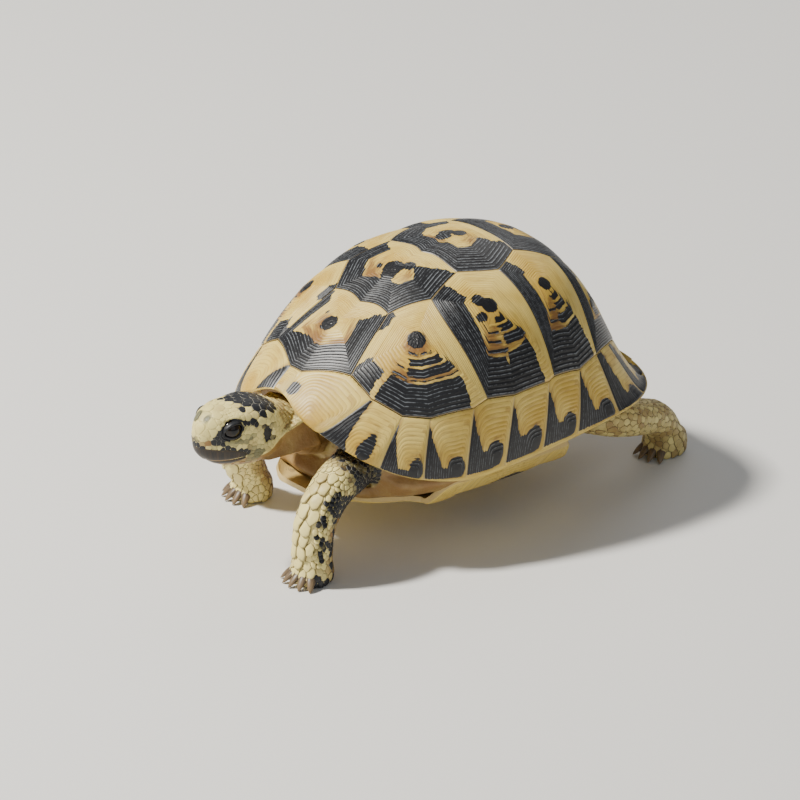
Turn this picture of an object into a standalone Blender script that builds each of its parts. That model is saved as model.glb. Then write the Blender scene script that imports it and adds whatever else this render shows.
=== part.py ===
"""Spur-thighed tortoise, a still life-size model standing in mid-stride.

Frame: the head looks along -Y, the animal's left is +X and +Z is up. The shell is
modelled about its own point, on the midline at the height of the shell's rim by the
flank, and one empty carries everything to the middle of its footprint on the floor.
"""
import math

import bmesh
import bpy
import numpy as np
from mathutils import Matrix, Vector

for old in list(bpy.data.objects):
    bpy.data.objects.remove(old, do_unlink=True)

MM = 0.001

# ---- driving dimensions ----
GAP = 0.3 * MM                 # free space between neighbouring pieces
FLOOR = -41.0 * MM             # the ground, below the flank's rim

# Carapace: a dome over a rounded oblong plan.
HALF_LENGTH = 85.0 * MM
HALF_WIDTH = 61.5 * MM
NARROW_FRONT = 0.034           # the front is narrower than the rear by this share
PLAN_POWER = 2.375             # 2 is an ellipse, more is squarer
CROWN_HEIGHT = 68.5 * MM
CROWN_BACK = 18.1 * MM         # the highest point lies this far behind the middle
RIM_TILT = 11.9 * MM           # the rim rises to the front by this much
RIM_WAVE = 2.2 * MM            # both ends lie a little higher than the flanks
RIM_CURL = 7.0 * MM            # and the rim lifts again over the neck
RIM_TAIL_LIFT = 12.0 * MM      # and over the tail
FRONT_TUCK = 3.9 * MM          # the front edge draws back
# The rear edge flares like a skirt: out to the sides, back and a little up.
SKIRT_SIDE, SKIRT_BACK, SKIRT_LIFT = 6.5 * MM, 9.0 * MM, 4.5 * MM
SKIRT_START, SKIRT_POWER = 0.55, 1.5
NECK_NOTCH = 0.20              # the rim stops short of the full reach over the neck
NECK_NOTCH_ANGLE = 14.0
# How fully the dome stands out over its plan, and how late it drops: 2 is an ellipse.
SPREAD_FRONT, SPREAD_SIDE, SPREAD_REAR = 1.67, 3.13, 2.77
DROP_FRONT, DROP_SIDE, DROP_REAR = 1.12, 1.69, 0.87
CROWN_ROUND = 0.45             # the crown is round out to this share of the way
TUCK_START = 0.72
PLATE_THICKNESS = 2.6 * MM
PLATE_BULGE = 0.8 * MM         # each plate is a little higher at its middle
LIP_WIDTH = 7.5 * MM           # rim plates turn under by this much
LIP_SHARE = 0.85              # but by no more than this share of their last row
LIP_DROP_FLANK = 6.0 * MM
LIP_RISE_FRONT = 1.5 * MM
LIP_DROP_REAR = 2.5 * MM

# Plastron: the flat belly shield and its two bridges.
BELLY = -22.0 * MM
BELLY_THICKNESS = 3.6 * MM

# Head, neck and limbs.
HEAD_TIP = -120.3 * MM
MOUTH_HEIGHT = 9.0 * MM
MOUTH_CORNER = -98.5 * MM
EYE_RADIUS = 4.2 * MM
EYE_PLACE = (7.5 * MM, -108.0 * MM, 21.8 * MM)
WRIST = 10.5 * MM              # height of the cut between a leg and its foot


def signed_power(value, power):
    return math.copysign(abs(value) ** power, value)


def smooth(value):
    value = min(max(value, 0.0), 1.0)
    return value * value * (3.0 - 2.0 * value)


def disc(angle, reach):
    """A place on the shell: degrees round from the front, 0 crown to 1 rim."""
    turn = math.radians(angle)
    return np.array([reach * math.sin(turn), reach * math.cos(turn)])


def on_shell(place):
    """The carapace's outer surface over a place of the flat disc."""
    reach = math.hypot(place[0], place[1])
    side = place[0] / reach if reach > 0 else 0.0
    fore = place[1] / reach if reach > 0 else 1.0
    front, rear, flank = max(fore, 0) ** 2, max(-fore, 0) ** 2, side ** 2
    grown = smooth(reach / CROWN_ROUND)
    spread = SPREAD_FRONT * front + SPREAD_SIDE * flank + SPREAD_REAR * rear
    drop = DROP_FRONT * front + DROP_SIDE * flank + DROP_REAR * rear
    spread = 2.0 + (spread - 2.0) * grown
    drop = 2.0 + (drop - 2.0) * grown
    slope = min(reach, 1.0) * math.pi / 2
    out = math.sin(slope) ** (2 / spread)
    high = abs(math.cos(slope)) ** (2 / drop)
    tuck = max((reach - TUCK_START) / (1 - TUCK_START), 0.0) ** 2
    skirt = rear * max((reach - SKIRT_START) / (1 - SKIRT_START), 0.0) ** SKIRT_POWER
    x = HALF_WIDTH * (1 - NARROW_FRONT * fore) * signed_power(side, 2 / PLAN_POWER) * out
    y = -HALF_LENGTH * signed_power(fore, 2 / PLAN_POWER) * out + CROWN_BACK * (1 - out)
    x += skirt * SKIRT_SIDE * 4 * side * abs(side)
    y += tuck * FRONT_TUCK * front + skirt * SKIRT_BACK
    turn = math.atan2(side, fore)
    rim = RIM_TILT * fore + RIM_WAVE * math.cos(2 * turn) + RIM_CURL * math.cos(3 * turn)
    rim += RIM_TAIL_LIFT * rear ** 2
    z = rim + (CROWN_HEIGHT - rim) * high + skirt * SKIRT_LIFT
    return np.array([x, y, z])


def rim_place(angle):
    """Where the shell ends in a direction: at full reach, less over the neck."""
    return disc(angle, 1.0 - NECK_NOTCH * math.exp(-(angle / NECK_NOTCH_ANGLE) ** 2))


def shell_normal(place):
    """Outward direction of the carapace at a place of the disc."""
    step = 0.004
    reach = math.hypot(place[0], place[1])
    if reach > 1 - step:
        place = place * (1 - step) / reach
    across = on_shell(place + (step, 0)) - on_shell(place - (step, 0))
    along = on_shell(place + (0, step)) - on_shell(place - (0, step))
    normal = np.cross(along, across)
    normal /= np.linalg.norm(normal)
    return normal if np.dot(normal, on_shell(place) - (0, 0, -0.02)) > 0 else -normal


# ---- seams of the carapace: named corners on the disc, left side ----
CORNERS = {
    "nuchal_top": (2.4, 0.676),
    "v1_side": (24.3, 0.607), "v1_v2": (25.3, 0.388), "c1_c2_top": (51.1, 0.303),
    "v2_v3": (64.6, 0.201), "c2_c3_top": (91.6, 0.228), "v3_v4": (116.5, 0.180),
    "c3_c4_top": (135.4, 0.275), "v4_v5": (158.0, 0.375), "v5_side": (153.0, 0.640),
    "m1_m2_top": (37.0, 0.656), "m2_m3_top": (50.5, 0.700), "m3_m4_top": (60.6, 0.711),
    "m4_m5_top": (75.2, 0.706), "c1_c2_low": (79.4, 0.689), "m5_m6_top": (87.5, 0.711),
    "m6_m7_top": (96.2, 0.710), "c2_c3_low": (98.0, 0.699), "m7_m8_top": (107.9, 0.712),
    "m8_m9_top": (118.0, 0.679), "m9_m10_top": (129.4, 0.655), "m10_m11_top": (141.5, 0.648),
    "m11_tail_top": (167.0, 0.665),
}
RIM_ANGLES = {"nuchal": 1.8, "m1_m2": 19.5, "m2_m3": 43.3, "m3_m4": 59.0, "m4_m5": 72.6,
              "m5_m6": 84.2, "m6_m7": 93.0, "m7_m8": 103.5, "m8_m9": 119.9, "m9_m10": 139.0,
              "m10_m11": 155.0, "m11_tail": 168.0}
COSTALS = {
    1: ["v1_side", "v1_v2", "c1_c2_top", "c1_c2_low", "m4_m5_top", "m3_m4_top",
        "m2_m3_top", "m1_m2_top"],
    2: ["c1_c2_top", "v2_v3", "c2_c3_top", "c2_c3_low", "m6_m7_top", "m5_m6_top",
        "c1_c2_low"],
    3: ["c2_c3_top", "v3_v4", "c3_c4_top", "m8_m9_top", "m7_m8_top", "c2_c3_low"],
    4: ["c3_c4_top", "v4_v5", "v5_side", "m10_m11_top", "m9_m10_top", "m8_m9_top"],
}
VERTEBRALS = {
    1: ["nuchal_top", "v1_side", "v1_v2"],
    2: ["v1_v2", "c1_c2_top", "v2_v3"],
    3: ["v2_v3", "c2_c3_top", "v3_v4"],
    4: ["v3_v4", "c3_c4_top", "v4_v5"],
    5: ["v4_v5", "v5_side", "m11_tail_top"],
}
MARGINALS = {
    1: (["nuchal_top", "v1_side", "m1_m2_top"], "nuchal", "m1_m2"),
    2: (["m1_m2_top", "m2_m3_top"], "m1_m2", "m2_m3"),
    3: (["m2_m3_top", "m3_m4_top"], "m2_m3", "m3_m4"),
    4: (["m3_m4_top", "m4_m5_top"], "m3_m4", "m4_m5"),
    5: (["m4_m5_top", "c1_c2_low", "m5_m6_top"], "m4_m5", "m5_m6"),
    6: (["m5_m6_top", "m6_m7_top"], "m5_m6", "m6_m7"),
    7: (["m6_m7_top", "c2_c3_low", "m7_m8_top"], "m6_m7", "m7_m8"),
    8: (["m7_m8_top", "m8_m9_top"], "m7_m8", "m8_m9"),
    9: (["m8_m9_top", "m9_m10_top"], "m8_m9", "m9_m10"),
    10: (["m9_m10_top", "m10_m11_top"], "m9_m10", "m10_m11"),
    11: (["m10_m11_top", "v5_side", "m11_tail_top"], "m10_m11", "m11_tail"),
}


# Two seams across the back bow forward, through these reaches on the midline.
MIDDLES = {"v1_v2": 0.40, "v2_v3": 0.155}


def corner(name, side=1):
    angle, reach = CORNERS[name]
    return disc(angle * side, reach)


def across_the_back(names):
    """The corners of a plate of the back: its left ones from front to rear, then right."""
    left = [corner(name) for name in names]
    right = [corner(name, -1) for name in reversed(names)]
    front, rear = ([disc(0, MIDDLES[name])] if name in MIDDLES else []
                   for name in (names[0], names[-1]))
    return left + rear + right + front


# ---- meshes, materials and objects ----
frame = bpy.data.objects.new("body_frame", None)
bpy.context.collection.objects.link(frame)


def material(name, colour, roughness):
    made = bpy.data.materials.new(name)
    made.use_nodes = True
    shader = made.node_tree.nodes["Principled BSDF"]
    shader.inputs["Base Color"].default_value = (*colour, 1)
    shader.inputs["Roughness"].default_value = roughness
    shader.inputs["Metallic"].default_value = 0.0
    return made


HORN_YELLOW = (0.66, 0.50, 0.24)
HORN_DARK = (0.05, 0.05, 0.055)
SKIN_TAN = (0.42, 0.31, 0.17)
HEAD_YELLOW = (0.55, 0.46, 0.24)
EYE_BLACK = (0.01, 0.008, 0.006)


def add_object(name, mesh, colour, roughness):
    made = bpy.data.objects.new(name, mesh)
    mesh.materials.append(material(name + "_finish", colour, roughness))
    bpy.context.collection.objects.link(made)
    made.parent = frame
    return made


def mesh_from(name, points, faces):
    """A closed mesh with its faces turned outward."""
    mesh = bpy.data.meshes.new(name)
    mesh.from_pydata([tuple(float(v) for v in point) for point in points], [], faces)
    work = bmesh.new()
    work.from_mesh(mesh)
    bmesh.ops.remove_doubles(work, verts=work.verts, dist=1e-6)
    bmesh.ops.recalc_face_normals(work, faces=work.faces)
    work.to_mesh(mesh)
    work.free()
    mesh.shade_smooth()
    mesh.set_sharp_from_angle(angle=math.radians(40))
    return mesh


def bridge(first, second):
    """Quads between two rings of vertex numbers."""
    count = len(first)
    return [(first[i], first[(i + 1) % count], second[(i + 1) % count], second[i])
            for i in range(count)]


def as_cutter(piece):
    piece.hide_render = True
    piece.display_type = 'WIRE'
    return piece


def carve(piece, cutter, operation='DIFFERENCE'):
    cut = piece.modifiers.new("cut", 'BOOLEAN')
    cut.operation = operation
    cut.solver = 'EXACT'
    cut.object = cutter


# ---- carapace plates ----
EDGE_STEP = 10.0 * MM
PLATE_RINGS = (1.0, 0.68, 0.34)
PROBE = 0.01                   # a small step on the disc, to read how far it is on the shell


def divide_edge(start, end, step=EDGE_STEP):
    """Places from start up to, but not with, end, evenly spaced."""
    length = np.linalg.norm(on_shell(end) - on_shell(start))
    count = max(1, round(length / step))
    return [start + (end - start) * i / count for i in range(count)]


def pull_in(outline, distance):
    """The outline on the disc, moved inward by a distance along the shell."""
    count = len(outline)
    area = sum(outline[i - 1][0] * outline[i][1] - outline[i][0] * outline[i - 1][1]
               for i in range(count))
    hand = 1 if area > 0 else -1
    moved = []
    for i in range(count):
        before = outline[i] - outline[i - 1]
        after = outline[(i + 1) % count] - outline[i]
        normals = [hand * np.array([-edge[1], edge[0]]) / np.linalg.norm(edge)
                   for edge in (before, after)]
        aim = (normals[0] + normals[1]) / (1 + normals[0] @ normals[1])
        probe = PROBE * aim / np.linalg.norm(aim)
        stretch = np.linalg.norm(on_shell(outline[i] + probe) - on_shell(outline[i])) / PROBE
        moved.append(outline[i] + aim * distance / stretch)
    return moved


def dome_plate(name, corners, colour):
    """A many-sided plate of the dome, ringed round its middle."""
    outline = []
    for i, place in enumerate(corners):
        outline += divide_edge(place, corners[(i + 1) % len(corners)])
    outline = pull_in(outline, 0.6 * GAP)
    middle = sum(outline) / len(outline)
    points, faces, rings = [], [], []
    for depth in (0.0, PLATE_THICKNESS):
        layer = []
        for ring in PLATE_RINGS + (0.0,):
            rise = PLATE_BULGE * (1 - ring ** 2) - depth
            places = [middle] if ring == 0 else [middle + (p - middle) * ring for p in outline]
            layer.append([len(points) + i for i in range(len(places))])
            points += [on_shell(p) + shell_normal(p) * rise for p in places]
        rings.append(layer)
    for layer in rings:
        for outer, inner in zip(layer[:-2], layer[1:-1]):
            faces += bridge(outer, inner)
        last, centre = layer[-2], layer[-1][0]
        faces += [(last[i - 1], last[i], centre) for i in range(len(last))]
    faces += bridge(rings[0][0], rings[1][0])
    return add_object(name, mesh_from(name, points, faces), colour, 0.42)


RIM_ROWS = 4
RIM_EDGE_STEP = 9.0 * MM
SEAM_TRIM = 1.5 * GAP


def lip_point(place, above, last_row):
    """The inner edge of a rim plate's turned-under part, under a place above the rim."""
    width = min(LIP_WIDTH, LIP_SHARE * last_row)
    rim = on_shell(place)
    fore = place[1] / np.linalg.norm(place)
    flank = smooth(1.6 - 2.6 * abs(fore))
    inward = np.array([-rim[0], -0.75 * rim[1], 0.0])
    along = (above - rim) * (1, 1, 0)
    inward = flank * inward / np.linalg.norm(inward) + (1 - flank) * along / np.linalg.norm(along)
    inward /= np.linalg.norm(inward)
    ends = LIP_RISE_FRONT if fore > 0 else -LIP_DROP_REAR
    lift = ends * (1 - flank) - LIP_DROP_FLANK * flank
    return rim + (inward * LIP_WIDTH + np.array([0, 0, lift])) * width / LIP_WIDTH


def rim_plate(name, top, first_angle, last_angle, colour):
    """A marginal: it comes down to the rim and turns under as a lip."""
    line = []
    for start, end in zip(top[:-1], top[1:]):
        line += divide_edge(start, end, RIM_EDGE_STEP)
    line.append(top[-1])
    lengths = [0.0]
    for start, end in zip(line[:-1], line[1:]):
        lengths.append(lengths[-1] + np.linalg.norm(end - start))
    width = np.linalg.norm(on_shell(top[-1]) - on_shell(top[0]))
    trim = SEAM_TRIM / width
    points, faces, loops = [], [], []
    for place, length in zip(line, lengths):
        share = length / lengths[-1]
        share = trim + share * (1 - 2 * trim)
        rim = rim_place(first_angle + (last_angle - first_angle) * share)
        ends = line[0] if share < 0.5 else line[-1]
        along = (line[-1] - line[0]) * trim
        upper = place + along * (1 if share < 0.5 else -1) * abs(1 - 2 * share)
        upper = upper + (rim - upper) * SEAM_TRIM / np.linalg.norm(on_shell(rim) - on_shell(ends))
        row = [upper + (rim - upper) * i / RIM_ROWS for i in range(RIM_ROWS + 1)]
        outer = [on_shell(p) for p in row]
        inner = [on_shell(p) - shell_normal(p) * PLATE_THICKNESS for p in row[:-1]]
        last_row = np.linalg.norm(outer[-1] - outer[-2])
        section = outer + [lip_point(rim, outer[1], last_row)] + inner[::-1]
        loops.append([len(points) + i for i in range(len(section))])
        points += section
    for one, two in zip(loops[:-1], loops[1:]):
        faces += bridge(one, two)
    for loop in (loops[0], loops[-1]):
        outer, lip, inner = loop[:RIM_ROWS + 1], loop[RIM_ROWS + 1], loop[:RIM_ROWS + 1:-1]
        for i in range(RIM_ROWS - 1):
            faces.append((outer[i], outer[i + 1], inner[i + 1], inner[i]))
        faces.append((outer[-2], outer[-1], lip, inner[-1]))
    return add_object(name, mesh_from(name, points, faces), colour, 0.45)


for number, names in VERTEBRALS.items():
    dome_plate(f"vertebral_{number}", across_the_back(names), HORN_DARK)
for side, word in ((1, "left"), (-1, "right")):
    for number, names in COSTALS.items():
        dome_plate(f"costal_{word}_{number}", [corner(name, side) for name in names], HORN_DARK)
    for number, (top, first, last) in MARGINALS.items():
        rim_plate(f"marginal_{word}_{number}", [corner(name, side) for name in top],
                  RIM_ANGLES[first] * side, RIM_ANGLES[last] * side, HORN_YELLOW)
rim_plate("nuchal", [corner("nuchal_top", -1), corner("nuchal_top")],
          -RIM_ANGLES["nuchal"], RIM_ANGLES["nuchal"], HORN_YELLOW)
rim_plate("supracaudal", [corner("m11_tail_top"), disc(180.0, 0.66), corner("m11_tail_top", -1)],
          RIM_ANGLES["m11_tail"], 360.0 - RIM_ANGLES["m11_tail"], HORN_YELLOW)


# ---- plastron ----
# Half-widths of the belly shield along Y; the wide run in the middle is the bridge.
BELLY_OUTLINE = {-70.0: 9.0, -68.0: 15.0, -60.0: 23.0, -48.0: 29.0, -38.0: 34.0, -31.0: 48.0,
                 -26.0: 52.5, 28.0: 52.5, 34.0: 48.0, 41.0: 34.0, 50.0: 30.0, 60.0: 25.0,
                 67.0: 18.0, 72.0: 10.0}
BELLY_FLAT = 37.0 * MM         # the flat of the belly reaches this far out
BRIDGE_REACH = 52.5 * MM
BRIDGE_RISE = 12.4 * MM        # the bridge climbs by this much to meet the rim
GULAR_START, GULAR_RUN, GULAR_RISE = 45.0 * MM, 25.0 * MM, 4.0 * MM
ANAL_START, ANAL_RUN, ANAL_RISE = 50.0 * MM, 24.0 * MM, 2.0 * MM
EDGE_RISE = 1.5 * MM           # the shield's edge turns up a little
ACROSS_STEPS = 12
ALONG_STEP = 8.0 * MM
BELLY_SEAMS = {"gular": (-70.0, -57.0), "humeral": (-57.0, -36.0), "pectoral": (-36.0, -20.0),
               "abdominal": (-20.0, 25.0), "femoral": (25.0, 51.0), "anal": (51.0, 72.0)}


def belly_half_width(y):
    stations = list(BELLY_OUTLINE)
    return float(np.interp(y / MM, stations, [BELLY_OUTLINE[s] for s in stations])) * MM


def belly_point(x, y):
    """The belly's outer, lower surface."""
    rise = BRIDGE_RISE * smooth((abs(x) - BELLY_FLAT) / (BRIDGE_REACH - BELLY_FLAT))
    ends = GULAR_RISE * smooth((-y - GULAR_START) / GULAR_RUN)
    ends += ANAL_RISE * smooth((y - ANAL_START) / ANAL_RUN)
    edge = EDGE_RISE * smooth(5 * abs(x) / belly_half_width(y) - 4)
    return np.array([x, y, BELLY + rise + ends + edge * (1 - smooth(rise / MM))])


def belly_plate(name, start, end):
    """One row of the belly's plates, right across both halves."""
    start, end = start * MM + 0.5 * GAP, end * MM - 0.5 * GAP
    along_steps = max(2, round((end - start) / ALONG_STEP))
    points, faces, layers = [], [], []
    for lift in (0.0, BELLY_THICKNESS):
        grid = []
        for i in range(along_steps + 1):
            y = start + (end - start) * i / along_steps
            half = belly_half_width(y)
            row = []
            for j in range(ACROSS_STEPS + 1):
                x = half * math.sin((2 * j / ACROSS_STEPS - 1) * math.pi / 2)
                row.append(len(points))
                points.append(belly_point(x, y) + (0, 0, lift))
            grid.append(row)
        layers.append(grid)
        for one, two in zip(grid[:-1], grid[1:]):
            faces += [(one[j], one[j + 1], two[j + 1], two[j]) for j in range(ACROSS_STEPS)]
    loops = []
    for grid in layers:
        loop = grid[0] + [row[-1] for row in grid[1:-1]] + grid[-1][::-1]
        loops.append(loop + [row[0] for row in grid[-2:0:-1]])
    faces += bridge(loops[0], loops[1])
    return add_object(name, mesh_from(name, points, faces), HORN_YELLOW, 0.5)


for name, (start, end) in BELLY_SEAMS.items():
    belly_plate("plastron_" + name, start, end)


# ---- flesh ----
def limb_path(knots, steps):
    """A smooth run of (centre, half width, half height) through a few knots."""
    rows = [np.array([value for group in knot for value in group]) * MM for knot in knots]
    rows = [2 * rows[0] - rows[1]] + rows + [2 * rows[-1] - rows[-2]]
    path = []
    for i in range(1, len(rows) - 2):
        a, b, c, d = rows[i - 1:i + 3]
        for step in range(steps):
            t = step / steps
            path.append(0.5 * (2 * b + (c - a) * t + (2 * a - 5 * b + 4 * c - d) * t ** 2
                               + (3 * b - a - 3 * c + d) * t ** 3))
    return path + [rows[-2]]


def section_ring(centre, direction, wide, tall, sides, power=2.3, grow=0.0):
    """A rounded ring square to a direction; its width lies across the body."""
    direction = direction / np.linalg.norm(direction)
    level = np.array([1.0, 0.0, 0.0]) - direction * direction[0]
    level /= np.linalg.norm(level)
    upright = np.cross(level, direction)
    ring = []
    for i in range(sides):
        turn = 2 * math.pi * (i + 0.5) / sides
        ring.append(centre + level * (wide + grow) * signed_power(math.cos(turn), 2 / power)
                    + upright * (tall + grow) * signed_power(math.sin(turn), 2 / power))
    return ring


def tube(name, knots, colour, end, sides=12, steps=2, grow=0.0):
    """A solid limb along its knots, cut square to the direction end at its far end."""
    path = limb_path(knots, steps)
    points, faces, loops = [], [], []
    for i, row in enumerate(path):
        before, after = path[max(i - 1, 0)], path[min(i + 1, len(path) - 1)]
        direction = after[:3] - before[:3]
        if i == len(path) - 1:
            direction = np.array(end)
        ring = section_ring(row[:3], direction, row[3], row[4], sides, grow=grow)
        loops.append([len(points) + j for j in range(sides)])
        points += ring
    for one, two in zip(loops[:-1], loops[1:]):
        faces += bridge(one, two)
    faces += [tuple(loops[0]), tuple(loops[-1])]
    return add_object(name, mesh_from(name, points, faces), colour, 0.7)


# Trunk: fills the shell, its front and rear faces drawn in behind the rim.
TRUNK_CLEAR = PLATE_THICKNESS + 0.5 * MM
TRUNK_TOP_RINGS = (0.12, 0.3, 0.48, 0.64)
TRUNK_WIDEST = (0.62, 0.88)    # how far out it reaches at its ends and at its flanks
# Below its widest ring: (width share, less at the flanks, length share, height).
TRUNK_LOW_RINGS = ((1.0, 0.0, 1.0, None), (0.93, 0.05, 0.98, -4.0 * MM),
                   (0.80, 0.08, 0.93, -12.5 * MM), (0.58, 0.0, 0.84, BELLY))
TRUNK_SIDES = 32


def trunk_ring(angle, reach, clear=TRUNK_CLEAR):
    place = disc(angle, reach)
    return on_shell(place) - shell_normal(place) * clear


def build_trunk():
    points, faces, loops = [on_shell(disc(0, 0)) - (0, 0, TRUNK_CLEAR)], [], []
    angles = [360.0 * i / TRUNK_SIDES for i in range(TRUNK_SIDES)]
    for reach in TRUNK_TOP_RINGS:
        loops.append([len(points) + i for i in range(TRUNK_SIDES)])
        points += [trunk_ring(angle, reach) for angle in angles]
    for wide, flank_loss, long, height in TRUNK_LOW_RINGS:
        loops.append([len(points) + i for i in range(TRUNK_SIDES)])
        for angle in angles:
            flank = smooth(1.9 * abs(math.sin(math.radians(angle))) - 0.75)
            reach = TRUNK_WIDEST[0] + (TRUNK_WIDEST[1] - TRUNK_WIDEST[0]) * flank
            point = trunk_ring(angle, reach, TRUNK_CLEAR + MM) * (wide - flank_loss * flank, long, 1)
            if height is not None:
                point[2] = height
            rest = belly_point(point[0], point[1])[2] + BELLY_THICKNESS + 3 * GAP
            point[2] = max(point[2], rest)
            points.append(point)
    faces += [(loops[0][i - 1], loops[0][i], 0) for i in range(TRUNK_SIDES)]
    for one, two in zip(loops[:-1], loops[1:]):
        faces += bridge(one, two)
    faces.append(tuple(loops[-1]))
    return add_object("trunk", mesh_from("trunk", points, faces), SKIN_TAN, 0.75)


trunk = build_trunk()

# Limbs: each knot is ((x, y, z), (half width, half height)) in millimetres.
DOWN, FORWARD, BACK = (0.0, 0.0, -1.0), (0.0, -1.0, 0.0), (0.0, 1.0, 0.0)
LIMBS = {
    "neck": (FORWARD, [((0, -52, 6), (12, 12)), ((0, -66, 8.5), (12.5, 12)),
                       ((0, -76, 11.5), (12, 9.8)), ((0, -81.2, 14.5), (11.5, 10.5))]),
    "tail": (BACK, [((0, 60, -5), (8, 6)), ((0, 72, -8), (7, 5.5)), ((1, 82, -13), (5.5, 4.5)),
                    ((3, 90, -19), (3.2, 2.8)), ((4, 94, -23), (1.4, 1.3))]),
    "leg_front_left": (DOWN, [((20, -44, -2), (9, 8.5)), ((25, -57, -1), (9.5, 8.5)),
                              ((30, -70, -2), (9.5, 8.5)), ((32, -79, -6), (9, 8)),
                              ((32, -86, -17), (8.8, 7.8)), ((32, -87, -30.5), (8.6, 7.6))]),
    "leg_front_right": (DOWN, [((-22, -46, -4), (9, 8.5)), ((-29, -56, -4), (9.5, 8.5)),
                               ((-36, -65, -8), (9.5, 8.5)), ((-40, -66, -16), (9, 8)),
                               ((-42, -62, -24), (8.8, 7.8)), ((-43, -58, -30.5), (8.6, 7.6))]),
    "leg_hind_left": (DOWN, [((24, 42, -6), (9.5, 8)), ((32, 52, -8.7), (10, 7.8)),
                             ((38, 65, -12.5), (9.5, 8)), ((36.5, 79, -17), (9, 7.5)),
                             ((33.5, 92, -21.5), (8.3, 7.5)), ((31, 101, -30.5), (8, 8))]),
    "leg_hind_right": (DOWN, [((-24, 40, -6), (9.5, 8)), ((-33.5, 46, -8), (10, 7.4)),
                              ((-41.5, 52, -13.5), (10, 8.2)), ((-45, 55, -20.5), (9.3, 8.5)),
                              ((-46, 55, -30.5), (8.8, 8.5))]),
}
for name, (end, knots) in LIMBS.items():
    tube(name, knots, SKIN_TAN, end)
    carve(trunk, as_cutter(tube(name + "_socket", knots, SKIN_TAN, end, grow=2 * GAP)))

# Feet: a flat-soled pad with its claws grown out of the front.
FEET = {
    "foot_front_left": ((32, -87), (8.6, 7.6), 5, 0.0),
    "foot_front_right": ((-43, -57), (8.6, 7.6), 5, 12.0),
    "foot_hind_left": ((31, 101.5), (8.4, 9.2), 4, 8.0),
    "foot_hind_right": ((-46, 55), (9.0, 9.0), 4, 14.0),
}
CLAW_REACH = 4.6 * MM          # how far a claw stands out past its foot
CLAW_RADIUS = 1.9 * MM
CLAW_ROOT_HEIGHT, CLAW_TIP_HEIGHT, CLAW_ARCH = 4.2 * MM, 0.7 * MM, 0.9 * MM
CLAW_FAN = 22.0                # degrees from one claw to the next
CLAW_SIDES = 6


def claw(name, root, tip):
    """A curved horn from its root to its tip."""
    points, faces, loops = [], [], []
    for share in (0.0, 0.35, 0.7):
        arch = np.array([0, 0, CLAW_ARCH * math.sin(math.pi * share)])
        radius = CLAW_RADIUS * (1 - 0.75 * share)
        ring = section_ring(root + (tip - root) * share + arch, tip - root, radius, 0.8 * radius,
                            CLAW_SIDES)
        loops.append([len(points) + j for j in range(CLAW_SIDES)])
        points += ring
    points.append(tip)
    for one, two in zip(loops[:-1], loops[1:]):
        faces += bridge(one, two)
    faces += [(loops[-1][j - 1], loops[-1][j], len(points) - 1) for j in range(CLAW_SIDES)]
    faces.append(tuple(loops[0]))
    return add_object(name, mesh_from(name, points, faces), HORN_DARK, 0.35)


for name, ((x, y), (wide, deep), claws, toe_out) in FEET.items():
    sole, ankle = FLOOR / MM, (FLOOR + WRIST - GAP) / MM
    pad = tube(name, [((x, y, ankle), (wide, deep)), ((x, y, sole + 5), (wide + 0.6, deep + 0.6)),
                      ((x, y, sole + 1.2), (wide + 0.3, deep + 0.3)),
                      ((x, y, sole), (wide - 1.2, deep - 1.2))],
               SKIN_TAN, DOWN, steps=1)
    for i in range(claws):
        fan = math.radians(toe_out * (1 if x > 0 else -1) + CLAW_FAN * (i - (claws - 1) / 2))
        out = np.array([math.sin(fan), -math.cos(fan), 0.0])
        centre = np.array([x, y, 0]) * MM
        edge = out * np.array([wide, deep, 0]) * MM
        root = centre + edge * 0.72 + np.array([0, 0, FLOOR + CLAW_ROOT_HEIGHT])
        tip = centre + edge + out * CLAW_REACH + np.array([0, 0, FLOOR + CLAW_TIP_HEIGHT])
        carve(pad, as_cutter(claw(f"{name}_claw_{i + 1}", root, tip)), 'UNION')

# Head: sections from the snout's tip back to the nape,
# each (distance back, half width, lowest height, highest height) in millimetres.
HEAD_SECTIONS = [(0.0, 2.4, 15.0, 22.6), (1.2, 3.9, 11.4, 25.2), (3.5, 6.3, 8.7, 27.6),
                 (7.0, 8.9, 6.2, 29.2), (11.0, 10.6, 4.6, 29.5), (16.0, 12.2, 3.4, 29.5),
                 (22.0, 13.7, 2.7, 29.9), (27.0, 14.3, 2.7, 29.8), (32.0, 13.7, 3.3, 28.2),
                 (36.0, 12.5, 4.5, 26.0), (38.8, 11.4, 5.8, 24.6)]
HEAD_POWER = 2.7               # the crown is flat and its edges square
HEAD_SIDES = 20


def build_head(name, grow=0.0):
    points, faces, loops = [], [], []
    for back, half, low, high in HEAD_SECTIONS:
        centre = np.array([0, HEAD_TIP + back * MM, (low + high) / 2 * MM])
        ring = section_ring(centre, np.array([0.0, 1.0, 0.0]), half * MM, (high - low) / 2 * MM,
                            HEAD_SIDES, power=HEAD_POWER, grow=grow)
        loops.append([len(points) + j for j in range(HEAD_SIDES)])
        points += ring
    for one, two in zip(loops[:-1], loops[1:]):
        faces += bridge(one, two)
    faces += [tuple(loops[0]), tuple(loops[-1])]
    return add_object(name, mesh_from(name, points, faces), HEAD_YELLOW, 0.6)


def box(name, low, high):
    """A plain block between two corners."""
    work = bmesh.new()
    bmesh.ops.create_cube(work, size=1.0)
    low, high = Vector(low), Vector(high)
    bmesh.ops.transform(work, matrix=Matrix.Diagonal(high - low).to_4x4(), verts=work.verts)
    bmesh.ops.translate(work, vec=(low + high) / 2, verts=work.verts)
    mesh = bpy.data.meshes.new(name)
    work.to_mesh(mesh)
    work.free()
    return add_object(name, mesh, HORN_DARK, 0.5)


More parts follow.
